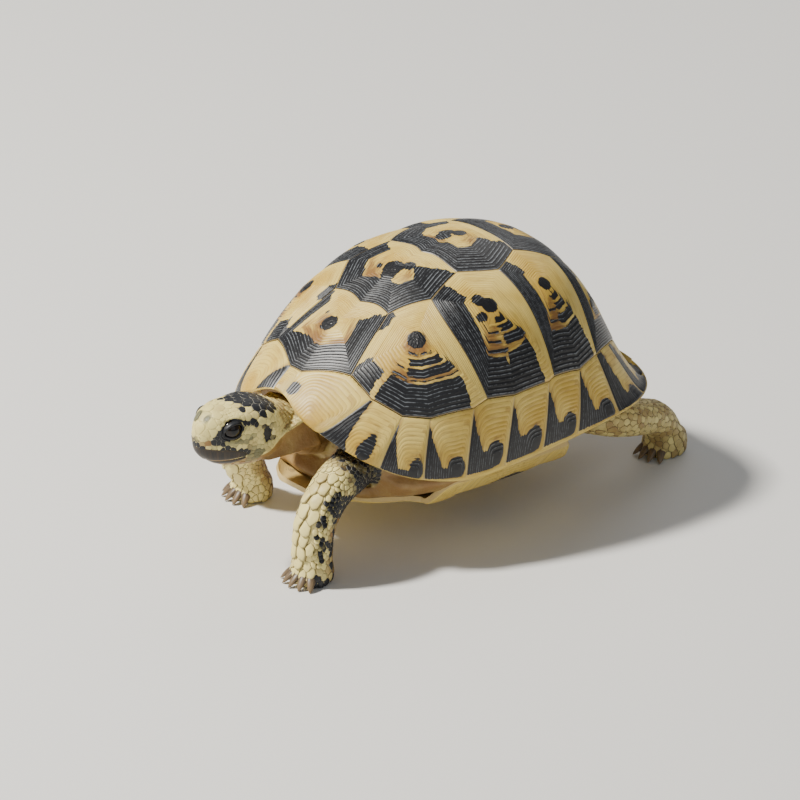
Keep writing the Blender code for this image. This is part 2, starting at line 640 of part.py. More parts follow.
head = build_head("head")
lower_jaw = build_head("lower_jaw")
far = 30 * MM                  # past the head on every side
mouth_front = HEAD_TIP - 5 * MM
carve(head, as_cutter(box("mouth_cut", (-far, mouth_front, -far),
                          (far, MOUTH_CORNER, MOUTH_HEIGHT))))
carve(lower_jaw, as_cutter(box("jaw_block", (-far, mouth_front, -far),
                               (far, MOUTH_CORNER - GAP, MOUTH_HEIGHT - GAP))), 'INTERSECT')


def ball(name, centre, radius, colour):
    work = bmesh.new()
    bmesh.ops.create_uvsphere(work, u_segments=14, v_segments=9, radius=radius)
    bmesh.ops.rotate(work, matrix=Matrix.Rotation(math.pi / 2, 3, 'Y'), verts=work.verts)
    bmesh.ops.translate(work, vec=centre, verts=work.verts)
    mesh = bpy.data.meshes.new(name)
    work.to_mesh(mesh)
    work.free()
    mesh.shade_smooth()
    return add_object(name, mesh, colour, 0.1)


for side, word in ((1, "left"), (-1, "right")):
    place = (side * EYE_PLACE[0], EYE_PLACE[1], EYE_PLACE[2])
    ball("eye_" + word, place, EYE_RADIUS, EYE_BLACK)
    carve(head, as_cutter(ball("socket_" + word, place, EYE_RADIUS + GAP, EYE_BLACK)))


def centre_on_floor():
    """Set the frame so that the origin is the middle of the footprint, on the floor."""
    graph = bpy.context.evaluated_depsgraph_get()
    corners = []
    for piece in bpy.data.objects:
        if piece.type == 'MESH' and not piece.hide_render:
            solid = piece.evaluated_get(graph).to_mesh()
            corners += [v.co.copy() for v in solid.vertices]
    low = [min(c[i] for c in corners) for i in range(3)]
    high = [max(c[i] for c in corners) for i in range(3)]
    frame.location = (-(low[0] + high[0]) / 2, -(low[1] + high[1]) / 2, -low[2])


centre_on_floor()
bpy.context.view_layer.update()
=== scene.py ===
"""Spur-thighed tortoise, still life-size model: shell, skin, scales, eyes and claws."""

import math

import bpy
import numpy as np
from mathutils import Matrix, Vector
from mathutils.bvhtree import BVHTree
from mathutils.kdtree import KDTree


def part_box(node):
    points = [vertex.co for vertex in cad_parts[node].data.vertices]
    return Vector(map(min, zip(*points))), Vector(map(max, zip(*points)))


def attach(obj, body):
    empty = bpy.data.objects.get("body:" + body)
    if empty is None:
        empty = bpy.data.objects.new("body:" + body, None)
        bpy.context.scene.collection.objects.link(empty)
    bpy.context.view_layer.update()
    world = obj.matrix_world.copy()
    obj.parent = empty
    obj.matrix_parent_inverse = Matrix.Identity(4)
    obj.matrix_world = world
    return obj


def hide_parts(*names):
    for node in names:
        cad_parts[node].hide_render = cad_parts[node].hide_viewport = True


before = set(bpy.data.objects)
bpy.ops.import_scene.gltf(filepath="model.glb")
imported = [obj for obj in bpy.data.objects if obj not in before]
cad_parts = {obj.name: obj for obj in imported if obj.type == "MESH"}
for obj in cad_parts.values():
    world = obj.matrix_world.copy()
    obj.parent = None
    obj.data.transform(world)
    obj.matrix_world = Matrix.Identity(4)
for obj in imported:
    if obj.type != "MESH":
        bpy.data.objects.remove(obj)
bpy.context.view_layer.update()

# ---- floor, light and camera ----
# A pale studio floor runs far past the animal. A broad key light stands high on the
# head's side, a large fill faces it, and the camera looks down from the left front.
MM = 0.001
# The shell's own point, which the animal is measured from, is found from the left eye.
EYE_PLACE = np.array([7.5, -108.0, 21.8]) * MM
eye_low, eye_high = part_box("eye_left")
SHELL = (np.array(eye_low) + np.array(eye_high)) / 2 - EYE_PLACE
FLOOR_SIZE = 6.0
LIT_PLACE = Vector((0, 0, 0.05))
bpy.ops.object.select_all(action='DESELECT')
bpy.ops.mesh.primitive_plane_add(size=FLOOR_SIZE)
floor = bpy.context.object
floor.name = "studio_floor"
floor_finish = bpy.data.materials.new("studio_floor")
floor_finish.use_nodes = True
floor_shader = floor_finish.node_tree.nodes["Principled BSDF"]
floor_shader.inputs["Base Color"].default_value = (0.80, 0.79, 0.76, 1)
floor_shader.inputs["Roughness"].default_value = 0.9
floor.data.materials.append(floor_finish)


def area_light(name, place, size, power, colour):
    """A soft square lamp at a place, turned to the middle of the animal."""
    lamp = bpy.data.lights.new(name, 'AREA')
    lamp.size = size
    lamp.energy = power
    lamp.color = colour
    holder = bpy.data.objects.new(name, lamp)
    bpy.context.scene.collection.objects.link(holder)
    holder.location = place
    aim = LIT_PLACE - Vector(place)
    holder.rotation_euler = aim.to_track_quat('-Z', 'Y').to_euler()


area_light("key", (-0.66, -1.05, 1.58), 0.20, 74.0, (1.0, 0.965, 0.90))
area_light("fill", (1.6, -0.5, 1.0), 1.6, 4.0, (0.92, 0.96, 1.0))
area_light("back", (-0.9, 1.3, 1.2), 1.2, 6.0, (1.0, 0.97, 0.93))
world = bpy.data.worlds.new("studio")
bpy.context.scene.world = world
world.use_nodes = True
world.node_tree.nodes["Background"].inputs["Color"].default_value = (0.90, 0.94, 1.0, 1)
world.node_tree.nodes["Background"].inputs["Strength"].default_value = 0.22

CAMERA_TURN, CAMERA_RISE = math.radians(49.609), math.radians(24.445)
CAMERA_ROLL = math.radians(0.537)
CAMERA_DISTANCE = 2.3147
LENS, SENSOR = 259.9, 36.0
AIM = SHELL + (0.0, 0.0, 30.0 * MM)     # a point in the middle of the shell
AIM_OFF_CENTRE = (-0.01200, -0.02687)   # the picture's middle, right and up from it

back = Vector((math.sin(CAMERA_TURN) * math.cos(CAMERA_RISE),
               -math.cos(CAMERA_TURN) * math.cos(CAMERA_RISE), math.sin(CAMERA_RISE)))
level = Vector((math.cos(CAMERA_TURN), math.sin(CAMERA_TURN), 0.0))
right = level * math.cos(CAMERA_ROLL) + back.cross(level) * math.sin(CAMERA_ROLL)
up = back.cross(right)
place = Vector(AIM) + back * CAMERA_DISTANCE
place += right * AIM_OFF_CENTRE[0] + up * AIM_OFF_CENTRE[1]
lens = bpy.data.cameras.new("camera")
lens.lens = LENS
lens.sensor_width = SENSOR
lens.clip_end = 20.0
camera = bpy.data.objects.new("camera", lens)
camera.matrix_world = Matrix.Translation(place) @ Matrix((right, up, back)).transposed().to_4x4()
bpy.context.scene.collection.objects.link(camera)
bpy.context.scene.camera = camera

# ---- carapace ----
# Thirteen plates of horn roof the shell: five along the back and four down each side.
# Each grew outward from a small old plate, the areola, so fine ridges ring it out to
# the seams. The horn is yellow, with black along its front and sides.
HALF_LENGTH, HALF_WIDTH = 85.0 * MM, 61.5 * MM
NARROW_FRONT = 0.034
PLAN_POWER = 2.375
CROWN_HEIGHT, CROWN_BACK = 68.5 * MM, 18.1 * MM
RIM_TILT, RIM_WAVE, RIM_CURL, RIM_TAIL_LIFT = 11.9 * MM, 2.2 * MM, 7.0 * MM, 12.0 * MM
FRONT_TUCK, TUCK_START = 3.9 * MM, 0.72
SKIRT_SIDE, SKIRT_BACK, SKIRT_LIFT = 6.5 * MM, 9.0 * MM, 4.5 * MM
SKIRT_START, SKIRT_POWER = 0.55, 1.5
NECK_NOTCH, NECK_NOTCH_ANGLE = 0.20, 14.0
SPREAD_FRONT, SPREAD_SIDE, SPREAD_REAR = 1.67, 3.13, 2.77
DROP_FRONT, DROP_SIDE, DROP_REAR = 1.12, 1.69, 0.87
CROWN_ROUND = 0.45
INSIDE = SHELL + (0, 0, 20 * MM)   # a point deep in the body, for telling in from out


def signed_power(value, power):
    """A power that keeps its value's sign."""
    return np.sign(value) * np.abs(value) ** power


def smooth(value):
    """0 below 0, 1 above 1, and an S between."""
    value = np.clip(value, 0.0, 1.0)
    return value * value * (3.0 - 2.0 * value)


def disc(angle, reach):
    """A place on the shell: degrees round from the front, 0 crown to 1 rim."""
    turn = np.radians(angle)
    return np.stack([reach * np.sin(turn), reach * np.cos(turn)], -1)


def on_shell(place):
    """The carapace's outer surface over places of the flat disc."""
    reach = np.hypot(place[..., 0], place[..., 1])
    side, fore = (place[..., i] / np.maximum(reach, 1e-9) for i in (0, 1))
    front, rear, flank = np.maximum(fore, 0) ** 2, np.maximum(-fore, 0) ** 2, side ** 2
    grown = smooth(reach / CROWN_ROUND)
    spread = SPREAD_FRONT * front + SPREAD_SIDE * flank + SPREAD_REAR * rear
    drop = DROP_FRONT * front + DROP_SIDE * flank + DROP_REAR * rear
    spread = 2.0 + (spread - 2.0) * grown
    drop = 2.0 + (drop - 2.0) * grown
    slope = np.minimum(reach, 1.0) * math.pi / 2
    out = np.sin(slope) ** (2 / spread)
    high = np.abs(np.cos(slope)) ** (2 / drop)
    tuck = np.maximum((reach - TUCK_START) / (1 - TUCK_START), 0.0) ** 2
    skirt = rear * np.maximum((reach - SKIRT_START) / (1 - SKIRT_START), 0.0) ** SKIRT_POWER
    x = HALF_WIDTH * (1 - NARROW_FRONT * fore) * signed_power(side, 2 / PLAN_POWER) * out
    y = -HALF_LENGTH * signed_power(fore, 2 / PLAN_POWER) * out + CROWN_BACK * (1 - out)
    x += skirt * SKIRT_SIDE * 4 * side * np.abs(side)
    y += tuck * FRONT_TUCK * front + skirt * SKIRT_BACK
    turn = np.arctan2(side, fore)
    rim = RIM_TILT * fore + RIM_WAVE * np.cos(2 * turn) + RIM_CURL * np.cos(3 * turn)
    rim += RIM_TAIL_LIFT * rear ** 2
    z = rim + (CROWN_HEIGHT - rim) * high + skirt * SKIRT_LIFT
    return np.stack([x, y, z], -1) + SHELL


def normals_of(surface, place, step=0.004):
    """Outward directions of a surface at places, away from the animal's middle."""
    reach = np.linalg.norm(place, axis=-1, keepdims=True)
    if surface is on_shell:
        place = np.where(reach > 1 - step, place * (1 - step) / np.maximum(reach, 1e-9), place)
    across = surface(place + (step, 0)) - surface(place - (step, 0))
    along = surface(place + (0, step)) - surface(place - (0, step))
    normal = np.cross(along, across)
    normal /= np.linalg.norm(normal, axis=-1, keepdims=True)
    outward = surface(place) - INSIDE
    return normal * np.sign((normal * outward).sum(-1, keepdims=True))


class Shade:
    """A shader value whose sums add Math nodes to its material."""

    def __init__(self, tree, socket=None):
        self.tree, self.socket = tree, socket

    def node(self, kind, sockets, output=0, stops=None, **settings):
        made = self.tree.nodes.new("ShaderNode" + kind)
        for setting, value in settings.items():
            setattr(made, setting, value)
        if stops:
            ramp = made.color_ramp
            while len(ramp.elements) < len(stops):
                ramp.elements.new(0.5)
            for element, (position, colour) in zip(ramp.elements, stops):
                element.position, element.color = position, colour
        for name, value in sockets.items():
            if isinstance(value, Shade):
                self.tree.links.new(value.socket, made.inputs[name])
            else:
                made.inputs[name].default_value = value
        return Shade(self.tree, made.outputs[output])

    def maths(self, operation, *others):
        return self.node("Math", dict(enumerate((self, *others))), operation=operation)

    def __add__(self, other):
        return self.maths("ADD", other)

    __radd__ = __add__

    def __mul__(self, other):
        return self.maths("MULTIPLY", other)

    __rmul__ = __mul__

    def __sub__(self, other):
        return self.maths("SUBTRACT", other)

    def __rsub__(self, other):
        return (self * -1.0) + other

    def step(self, low, high):
        """0 below low, 1 above high, and a smooth rise between."""
        sockets = {"Value": self, "From Min": low, "From Max": high}
        return self.node("MapRange", sockets, interpolation_type='SMOOTHSTEP')

    def mix(self, low, high):
        """The first colour where this is 0 and the second where it is 1."""
        return self.node("Mix", {0: self, 6: low, 7: high}, output=2, data_type='RGBA')

    def attribute(self, name):
        """A number that the piece's mesh holds at each point."""
        return self.node("Attribute", {}, output=2, attribute_name=name)

    def noise(self, where, scale, detail=3.0, rough=0.55):
        sockets = {"Vector": where, "Scale": scale, "Detail": detail, "Roughness": rough}
        return self.node("TexNoise", sockets)


def new_finish(name):
    """An empty material with its shader and its tree as a Shade."""
    finish = bpy.data.materials.new(name)
    finish.use_nodes = True
    return finish, finish.node_tree.nodes["Principled BSDF"], Shade(finish.node_tree)


def feed(shader, **values):
    """Gives the shader's sockets constants or shades, by their names."""
    for name, value in values.items():
        socket = shader.inputs[name.replace("_", " ")]
        if isinstance(value, Shade):
            value.tree.links.new(value.socket, socket)
        else:
            socket.default_value = value


PALE_HORN = (0.80, 0.60, 0.155, 1)
HORN_YELLOW = (0.60, 0.385, 0.055, 1)
OCHRE = (0.31, 0.155, 0.026, 1)
BLACK_HORN = (0.0045, 0.0045, 0.006, 1)
SLATE = (0.17, 0.185, 0.20, 1)
BURNT_BROWN = (0.19, 0.075, 0.018, 1)
SEAM_PALE = (0.62, 0.46, 0.20, 1)


def horn_finish(name, edge_noise, wear_and_glint):
    """Ringed horn: black where the mark field is above 0, yellow elsewhere."""
    finish, shader, shade = new_finish(name)
    where = shade.node("TexCoord", {}, output=3)
    mark, brown, ring, growth = (shade.attribute(key)
                                 for key in ("mark", "brown", "ring", "growth"))
    ridge = (ring * math.pi).maths("SINE").maths("ABSOLUTE")
    across = shade.attribute("round") * 0.35
    streaks = shade.node("CombineXYZ", {"X": ring * 0.9, "Y": across, "Z": 0.0})
    fibre = shade.noise(streaks, 1.0, detail=5.0, rough=0.65)
    cloud = shade.noise(where, 60.0)
    grain = shade.noise(where, 700.0)
    broken = ((fibre - 0.5) * 2.0 + (cloud - 0.5) * 0.9 + (grain - 0.5) * 0.7) * edge_noise
    black = (mark + broken + 0.20 - ridge * 0.4).step(-0.16, 0.16)
    tan = (brown + (fibre - 0.5) * 6.0 + (cloud - 0.5) * 2.0).step(-1.4, 2.2)
    yellow = (cloud + (0.62 - growth) * 0.35).step(0.35, 0.75).mix(PALE_HORN, HORN_YELLOW)
    groove = 1.0 - ridge.step(0.0, 0.45)
    yellow = (fibre.step(0.46, 0.74) * 0.50 + groove * 0.34).mix(yellow, OCHRE)
    yellow = (tan * 0.85).mix(yellow, BURNT_BROWN)
    # Pale slate lines along the ridges' crests in the black: partly worn horn, partly a painted
    # highlight where the crests catch the light.
    worn_and_glinting = (ridge + (fibre - 0.5) * 0.50 + (grain - 0.5) * 0.35).step(0.93, 1.03) * wear_and_glint
    dark = worn_and_glinting.mix(BLACK_HORN, SLATE)
    colour = black.mix(yellow, dark)
    colour = (growth.step(0.988, 1.0) * 0.7).mix(colour, SEAM_PALE)
    rough = 0.36 + fibre * 0.22 - black * 0.06
    height = fibre * 0.5 + grain * 0.5 + ridge * 0.9
    bump = shade.node("Bump", {"Height": height, "Distance": 0.16 * MM, "Strength": 0.55})
    feed(shader, Base_Color=colour, Roughness=rough, Normal=bump)
    shader.inputs["Coat Weight"].default_value = 0.12
    shader.inputs["Coat Roughness"].default_value = 0.30
    return finish


MERGE = 0.01 * MM              # points closer than this are one
CREASE = math.radians(50)      # faces that meet at more than this show an edge


def hold(piece, **fields):
    """Keeps numbers at a piece's points, for its finish to read."""
    for key, values in fields.items():
        held = piece.data.attributes.new(key, 'FLOAT', 'POINT')
        held.data.foreach_set("value", values.astype(np.float32))


def wrap_grid(name, points, fields, finish):
    """A grid laid over rows and columns of points, merged where they meet.

    Each field is a number kept at every point, for the finish to read."""
    rows, columns = points.shape[:2]
    bpy.ops.object.select_all(action='DESELECT')
    bpy.ops.mesh.primitive_grid_add(x_subdivisions=columns - 1, y_subdivisions=rows - 1)
    piece = bpy.context.object
    piece.name = piece.data.name = name
    piece.data.vertices.foreach_set("co", points.reshape(-1))
    hold(piece, **{key: np.broadcast_to(values, (rows, columns)).reshape(-1)
                   for key, values in fields.items()})
    bpy.ops.object.mode_set(mode='EDIT')
    bpy.ops.mesh.select_all(action='SELECT')
    bpy.ops.mesh.remove_doubles(threshold=MERGE)
    bpy.ops.mesh.fill_holes(sides=0)
    bpy.ops.mesh.normals_make_consistent(inside=False)
    bpy.ops.object.mode_set(mode='OBJECT')
    bpy.ops.object.shade_smooth_by_angle(angle=CREASE)
    piece.data.materials.append(finish)
    return piece


RIDGE_DEPTH = 0.15 * MM
RING_ROWS = 4                  # rows of points to each growth ridge
AREOLA = 0.20                  # the old plate's share of the way out to the seam
PLATE_WALL = 1.7 * MM
PLATE_BULGE = 0.7 * MM
SEAM_DROP, SEAM_SHARE = 0.22 * MM, 0.030
NO_MARK = -9.0                 # well outside any mark
FIBRES_ROUND = 3.0             # how fast the horn's fibres change round a plate
PLATE_SHRINK = 0.998           # each plate stops just short of its seams
UNDER_SHARES = (1.0, 0.8, 0.5, 0.0)   # the underside's rows, from the seam back in
EDGE_JITTER = 0.25             # how far a mark's edge steps from ridge to ridge
EDGE_WAVES = (0.4, 1.1, 2.7)
END_SOFTNESS = 0.34            # a mark's ends along the ridges fray this many times less


def wobble(turn, seed, waves=(2, 3, 5, 8, 13)):
    """A gentle, seeded unevenness round a plate, within about 1."""
    phases = np.random.default_rng(seed).uniform(0, 2 * math.pi, len(waves))
    return sum(np.sin(wave * turn + phase) / (i + 1.5)
               for i, (wave, phase) in enumerate(zip(waves, phases)))


def growth_relief(share, turn, rings, seed):
    """(height, ring) of the horn from the areola, 0, to the seam, 1."""
    grown = np.clip((share - AREOLA) / (1 - AREOLA), 0, 1)
    uneven = 0.010 * wobble(turn, seed) * np.sin(math.pi * grown)
    phase = rings * (grown + uneven + 0.012 * wobble(grown * 9, seed + 5, waves=(1, 2.3)))
    ridge = np.abs(np.sin(math.pi * phase)) ** 0.7
    strength = 0.65 + 0.5 * wobble(phase, seed + 1, waves=(0.9, 2.3))
    height = RIDGE_DEPTH * (ridge - 1) * np.clip(strength, 0.2, 1.2) * smooth(grown * 9)
    height += PLATE_BULGE * (1 - share ** 2) + 0.25 * MM * smooth(1.6 - share / AREOLA)
    pits = wobble(turn * 3, seed + 2) * np.sin(share * 70.0)
    height += 0.06 * MM * pits * smooth(1.5 - share / AREOLA) * smooth(share * 20)
    height -= SEAM_DROP * smooth((share - 1 + SEAM_SHARE) / SEAM_SHARE) ** 2
    return height, phase


def mark_field(points, outline, arc, middle, jitter, edge, bands, spots):
    """How far, in millimetres, each point lies inside a plate's marks.

    Places are counted in corners round the plate, and in shares of the way out to the
    seam. The edge is (corner, inner, outer) knots of the main mark, which reaches the
    seam if outer is left out. A band is (start, end, inner, outer). A spot is (corner,
    share, radius): a round mark on the line from the areola to there."""
    reach = np.linalg.norm(outline - middle, axis=-1) / MM
    share = np.linalg.norm(points - middle, axis=-1) / MM / reach
    corners = arc.max()
    ring_length = np.linalg.norm(np.diff(outline, axis=0), axis=-1).sum() / MM
    per_corner = ring_length / corners * np.maximum(share, 0.15)
    field = np.full(points.shape[:2], NO_MARK)
    if edge:
        knots = np.array([(*knot, 1.1)[:3] for knot in edge])
        turned = (arc + 0.16 * jitter) % corners
        inner, outer = (np.interp(turned, knots[:, 0], knots[:, i]) for i in (1, 2))
        field = np.minimum(share - inner, outer - share) * reach + jitter
    for start, end, inner, outer in bands:
        for lap in (-corners, 0.0, corners):
            inside = END_SOFTNESS * per_corner * np.minimum(arc - start + lap, end - arc - lap)
            inside = np.minimum(inside + jitter, (share - inner) * reach)
            field = np.maximum(field, np.minimum(inside, (outer - share) * reach))
    for corner_count, out, radius in spots:
        column = int(np.argmin(np.abs(arc - corner_count % corners)))
        centre = middle + (outline[column] - middle) * out
        field = np.maximum(field, radius - np.linalg.norm(points - centre, axis=-1) / MM)
    return field


def horn_plate(name, surface, corners, areola, rings, marks, finish, step=0.85 * MM, seed=1,
               wall=PLATE_WALL):
    """A many-sided plate with its growth rings, laid on a surface and closed beneath."""
    outline, arc = [], []
    for number, place in enumerate(corners):
        following = corners[(number + 1) % len(corners)]
        length = np.linalg.norm(surface(following) - surface(place))
        count = max(3, round(length / step))
        for i in range(count):
            outline.append(place + (following - place) * i / count)
            arc.append(number + i / count)
    outline, arc = np.array(outline + outline[:1]), np.array(arc + [len(corners)])
    pulled = areola + (outline - areola) * PLATE_SHRINK
    shares = np.linspace(0, 0.993, rings * RING_ROWS + 12)
    shares = np.concatenate([shares, [1.0], UNDER_SHARES])
    under = np.zeros(len(shares), bool)
    under[-len(UNDER_SHARES):] = True
    places = areola + (pulled - areola) * shares[:, None, None]
    turn = arc / arc.max() * 2 * math.pi
    height, ring = growth_relief(shares[:, None], turn, rings, seed)
    height[under] = -wall
    points = surface(places) + normals_of(surface, places) * height[..., None]
    middle = surface(areola)
    edge = surface(pulled)
    fields = {"growth": np.where(under, 1.0, shares)[:, None], "ring": ring,
              "round": arc * FIBRES_ROUND}
    jitter = EDGE_JITTER * wobble(shares * 40, seed + 3, waves=EDGE_WAVES)[:, None]
    for key in ("mark", "brown"):
        fields[key] = mark_field(points, edge, arc, middle, jitter, *marks[key])
    return wrap_grid(name, points, fields, finish)


CORNERS = {
    "nuchal_top": (2.4, 0.676),
    "v1_side": (24.3, 0.607), "v1_v2": (25.3, 0.388), "c1_c2_top": (51.1, 0.303),
    "v2_v3": (64.6, 0.201), "c2_c3_top": (91.6, 0.228), "v3_v4": (116.5, 0.180),
    "c3_c4_top": (135.4, 0.275), "v4_v5": (158.0, 0.375), "v5_side": (153.0, 0.640),
    "m1_m2_top": (37.0, 0.656), "m2_m3_top": (50.5, 0.700), "m3_m4_top": (60.6, 0.711),
    "m4_m5_top": (75.2, 0.706), "c1_c2_low": (79.4, 0.689), "m5_m6_top": (87.5, 0.711),
    "m6_m7_top": (96.2, 0.710), "c2_c3_low": (98.0, 0.699), "m7_m8_top": (107.9, 0.712),
    "m8_m9_top": (118.0, 0.679), "m9_m10_top": (129.4, 0.655), "m10_m11_top": (141.5, 0.648),
    "m11_tail_top": (167.0, 0.665), "tail_top": (180.0, 0.66),
}
MIDDLES = {"v1_v2": 0.40, "v2_v3": 0.155}   # where two seams of the back cross its ridge
COSTALS = {
    1: ["v1_side", "v1_v2", "c1_c2_top", "c1_c2_low", "m4_m5_top", "m3_m4_top",
        "m2_m3_top", "m1_m2_top"],
    2: ["c1_c2_top", "v2_v3", "c2_c3_top", "c2_c3_low", "m6_m7_top", "m5_m6_top",
        "c1_c2_low"],
    3: ["c2_c3_top", "v3_v4", "c3_c4_top", "m8_m9_top", "m7_m8_top", "c2_c3_low"],
    4: ["c3_c4_top", "v4_v5", "v5_side", "m10_m11_top", "m9_m10_top", "m8_m9_top"],
}
VERTEBRALS = {
    1: ["nuchal_top", "v1_side", "v1_v2"],
    2: ["v1_v2", "c1_c2_top", "v2_v3"],
    3: ["v2_v3", "c2_c3_top", "v3_v4"],
    4: ["v3_v4", "c3_c4_top", "v4_v5"],
    5: ["v4_v5", "v5_side", "m11_tail_top"],
}
# How many rings the plates grew, where each began, and its black and brown marks.
VERTEBRAL_RINGS, COSTAL_RINGS = 14, 16
VERTEBRAL_AREOLAE = {1: (0, 0.49), 2: (0, 0.276), 3: (0, 0.03), 4: (180, 0.20), 5: (180, 0.50)}
COSTAL_AREOLAE = {1: (49.6, 0.434), 2: (81.9, 0.355), 3: (106.4, 0.343), 4: (135.5, 0.46)}
VERTEBRAL_MARKS = {
    1: {"mark": (((0, 0.47), (1, 0.47), (1.88, 0.48), (2.04, 1.1), (4.0, 1.1), (4.12, 0.74),
                  (5, 0.70), (5.4, 0.58), (5.8, 0.47), (7, 0.47)), (),
                 ((4.8, 0.12, 4.1), (4.25, 0.48, 1.2))),
        "brown": ((), ((4.9, 7.3, 0.24, 0.56), (0.0, 1.9, 0.34, 0.54)), ((4.8, 0.2, 5.2),))},
    2: {"mark": (((0, 0.30), (0.4, 0.46), (1, 0.48), (1.4, 0.40), (1.88, 0.36), (2.0, 1.1),
                  (4.0, 1.1), (4.1, 0.60), (5, 0.58), (6, 0.50), (6.4, 0.38), (7, 0.28),
                  (7.5, 0.18), (8, 0.30)), (),
                 ((2.95, 0.10, 4.6), (2.3, 0.34, 3.2), (7.6, 0.14, 3.8), (4.9, 0.26, 2.0))),
        "brown": ((), ((4.9, 7.4, 0.20, 0.52), (0.3, 1.6, 0.28, 0.46)), ())},
    3: {"mark": (((0, 0.38), (1, 0.38), (2.02, 0.34), (2.16, 1.1), (3.0, 1.1), (3.14, 0.72),
                  (4, 0.58), (5, 0.50), (6, 0.48), (6.3, 0.40), (7, 0.38)), (),
                 ((5.4, 0.26, 3.6), (2.6, 0.14, 3.2), (4.2, 0.18, 3.6))),
        "brown": ((), ((5.0, 6.2, 0.34, 0.60), (1.0, 2.0, 0.20, 0.40)), ())},
    4: {"mark": (((0, 0.44), (1, 0.42), (1.95, 0.40), (2.1, 1.1), (2.9, 1.1), (3.02, 0.45),
                  (4, 0.46), (6, 0.44)), (), ((2.5, 0.15, 4.2), (5.5, 0.2, 3.4))),
        "brown": ((), ((1.0, 2.0, 0.30, 0.5),), ())},
    5: {"mark": (((0, 0.42), (0.9, 0.44), (1, 0.62), (1.8, 0.60), (1.95, 1.1), (3.05, 1.1),
                  (3.2, 0.60), (4, 0.62), (4.1, 0.44), (6, 0.42)), (), ((2.5, 0.2, 4.6),)),
        "brown": ((), ((2.0, 3.0, 0.6, 1.1),), ())},
}
COSTAL_MARKS = {
    1: {"mark": (((0, 0.66), (0.12, 0.68), (0.2, 1.1), (0.72, 1.1), (0.78, 0.78), (1.1, 0.80),
                  (1.16, 1.1), (3.3, 1.1), (3.36, 0.62, 0.66), (4.12, 0.60, 0.98), (4.16, 0.60),
                  (6.92, 0.60), (6.98, 1.1), (7.15, 1.1), (7.2, 0.64), (8, 0.66)),
                 ((3.5, 6.6, 0.215, 0.245), (3.05, 6.2, 0.28, 0.385), (2.85, 6.2, 0.405, 0.52),
                  (5.8, 6.9, 0.44, 0.465), (3.1, 6.9, 0.545, 0.57)), ((5.5, 0.03, 3.8),)),
        "brown": ((), ((5.4, 6.95, 0.44, 0.92), (2.9, 6.3, 0.40, 0.60)), ((5.5, 0.1, 5.4),))},
    2: {"mark": (((0, 0.42), (0.44, 0.44), (0.56, 1.1), (3.7, 1.1), (3.72, 0.48, 0.52),
                  (4.05, 0.50, 0.74), (4.2, 0.52, 1.1), (4.94, 0.56), (4.97, 0.66), (5.03, 0.66),
                  (5.06, 0.57), (6.1, 0.56), (6.3, 0.44), (7, 0.42)),
                 ((2.9, 4.85, 0.15, 0.21), (2.85, 4.85, 0.235, 0.32), (5.0, 6.3, 0.30, 0.33),
                  (2.9, 4.9, 0.35, 0.47), (5.0, 6.3, 0.40, 0.43), (4.9, 6.3, 0.50, 0.54)),
                 ((2.2, 0.05, 3.5), (0.46, 0.22, 3.2), (6.5, 0.28, 2.6))),
        "brown": ((), ((4.8, 6.4, 0.24, 0.60), (3.2, 5.1, 0.34, 0.50), (4.85, 5.12, 0.5, 0.95)),
                  ())},
    3: {"mark": (((0, 0.45), (0.3, 0.47), (0.42, 1.1), (2.95, 1.1), (3.0, 0.50, 0.56),
                  (3.2, 0.50, 1.1), (4.5, 0.54), (5.1, 0.54), (5.3, 0.45), (6, 0.45)),
                 ((2.75, 4.25, 0.16, 0.22), (2.75, 4.25, 0.25, 0.34), (2.8, 4.3, 0.37, 0.48),
                  (4.2, 5.3, 0.30, 0.33), (4.1, 5.3, 0.42, 0.45)),
                 ((2.4, 0.05, 3.1), (3.3, 0.13, 2.2), (0.2, 0.55, 1.3))),
        "brown": ((), ((4.0, 5.2, 0.18, 0.56),), ())},
    4: {"mark": (((0, 0.40), (0.35, 0.42), (0.5, 1.1), (2.7, 1.1), (2.75, 0.48, 0.56),
                  (3.0, 0.44, 1.1), (4.9, 0.46), (5.1, 0.36), (6, 0.38)),
                 ((2.9, 4.6, 0.3, 0.40),), ((2.4, 0.05, 3.2), (4.4, 0.2, 3.4))),
        "brown": ((), ((3.4, 4.9, 0.26, 0.54),), ())},
}
carapace_finish = horn_finish("carapace_horn", edge_noise=1.0, wear_and_glint=0.85)


def corner(name, side=1):
    """A corner's place on the left side, or on the right where side is -1."""
    angle, reach = CORNERS[name]
    return disc(angle * side, reach)


def across_the_back(names):
    """The corners of a plate of the back: its left ones from front to rear, then right."""
    left = [corner(name) for name in names]
    right = [corner(name, -1) for name in reversed(names)]
    front, rear = ([disc(0, MIDDLES[name])] if name in MIDDLES else []
                   for name in (names[0], names[-1]))
    return left + rear + right + front


for number, names in VERTEBRALS.items():
    plate = horn_plate(f"vertebral_plate_{number}", on_shell, across_the_back(names),
                       disc(*VERTEBRAL_AREOLAE[number]), VERTEBRAL_RINGS,
                       VERTEBRAL_MARKS[number], carapace_finish, seed=10 * number)
    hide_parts(f"vertebral_{number}")
    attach(plate, "root")
for side, word in ((1, "left"), (-1, "right")):
    for number, names in COSTALS.items():
        angle, reach = COSTAL_AREOLAE[number]
        plate = horn_plate(f"costal_plate_{word}_{number}", on_shell,
                           [corner(name, side) for name in names], disc(angle * side, reach),
                           COSTAL_RINGS, COSTAL_MARKS[number], carapace_finish,
                           seed=100 + 10 * number + side)
        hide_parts(f"costal_{word}_{number}")
        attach(plate, "root")

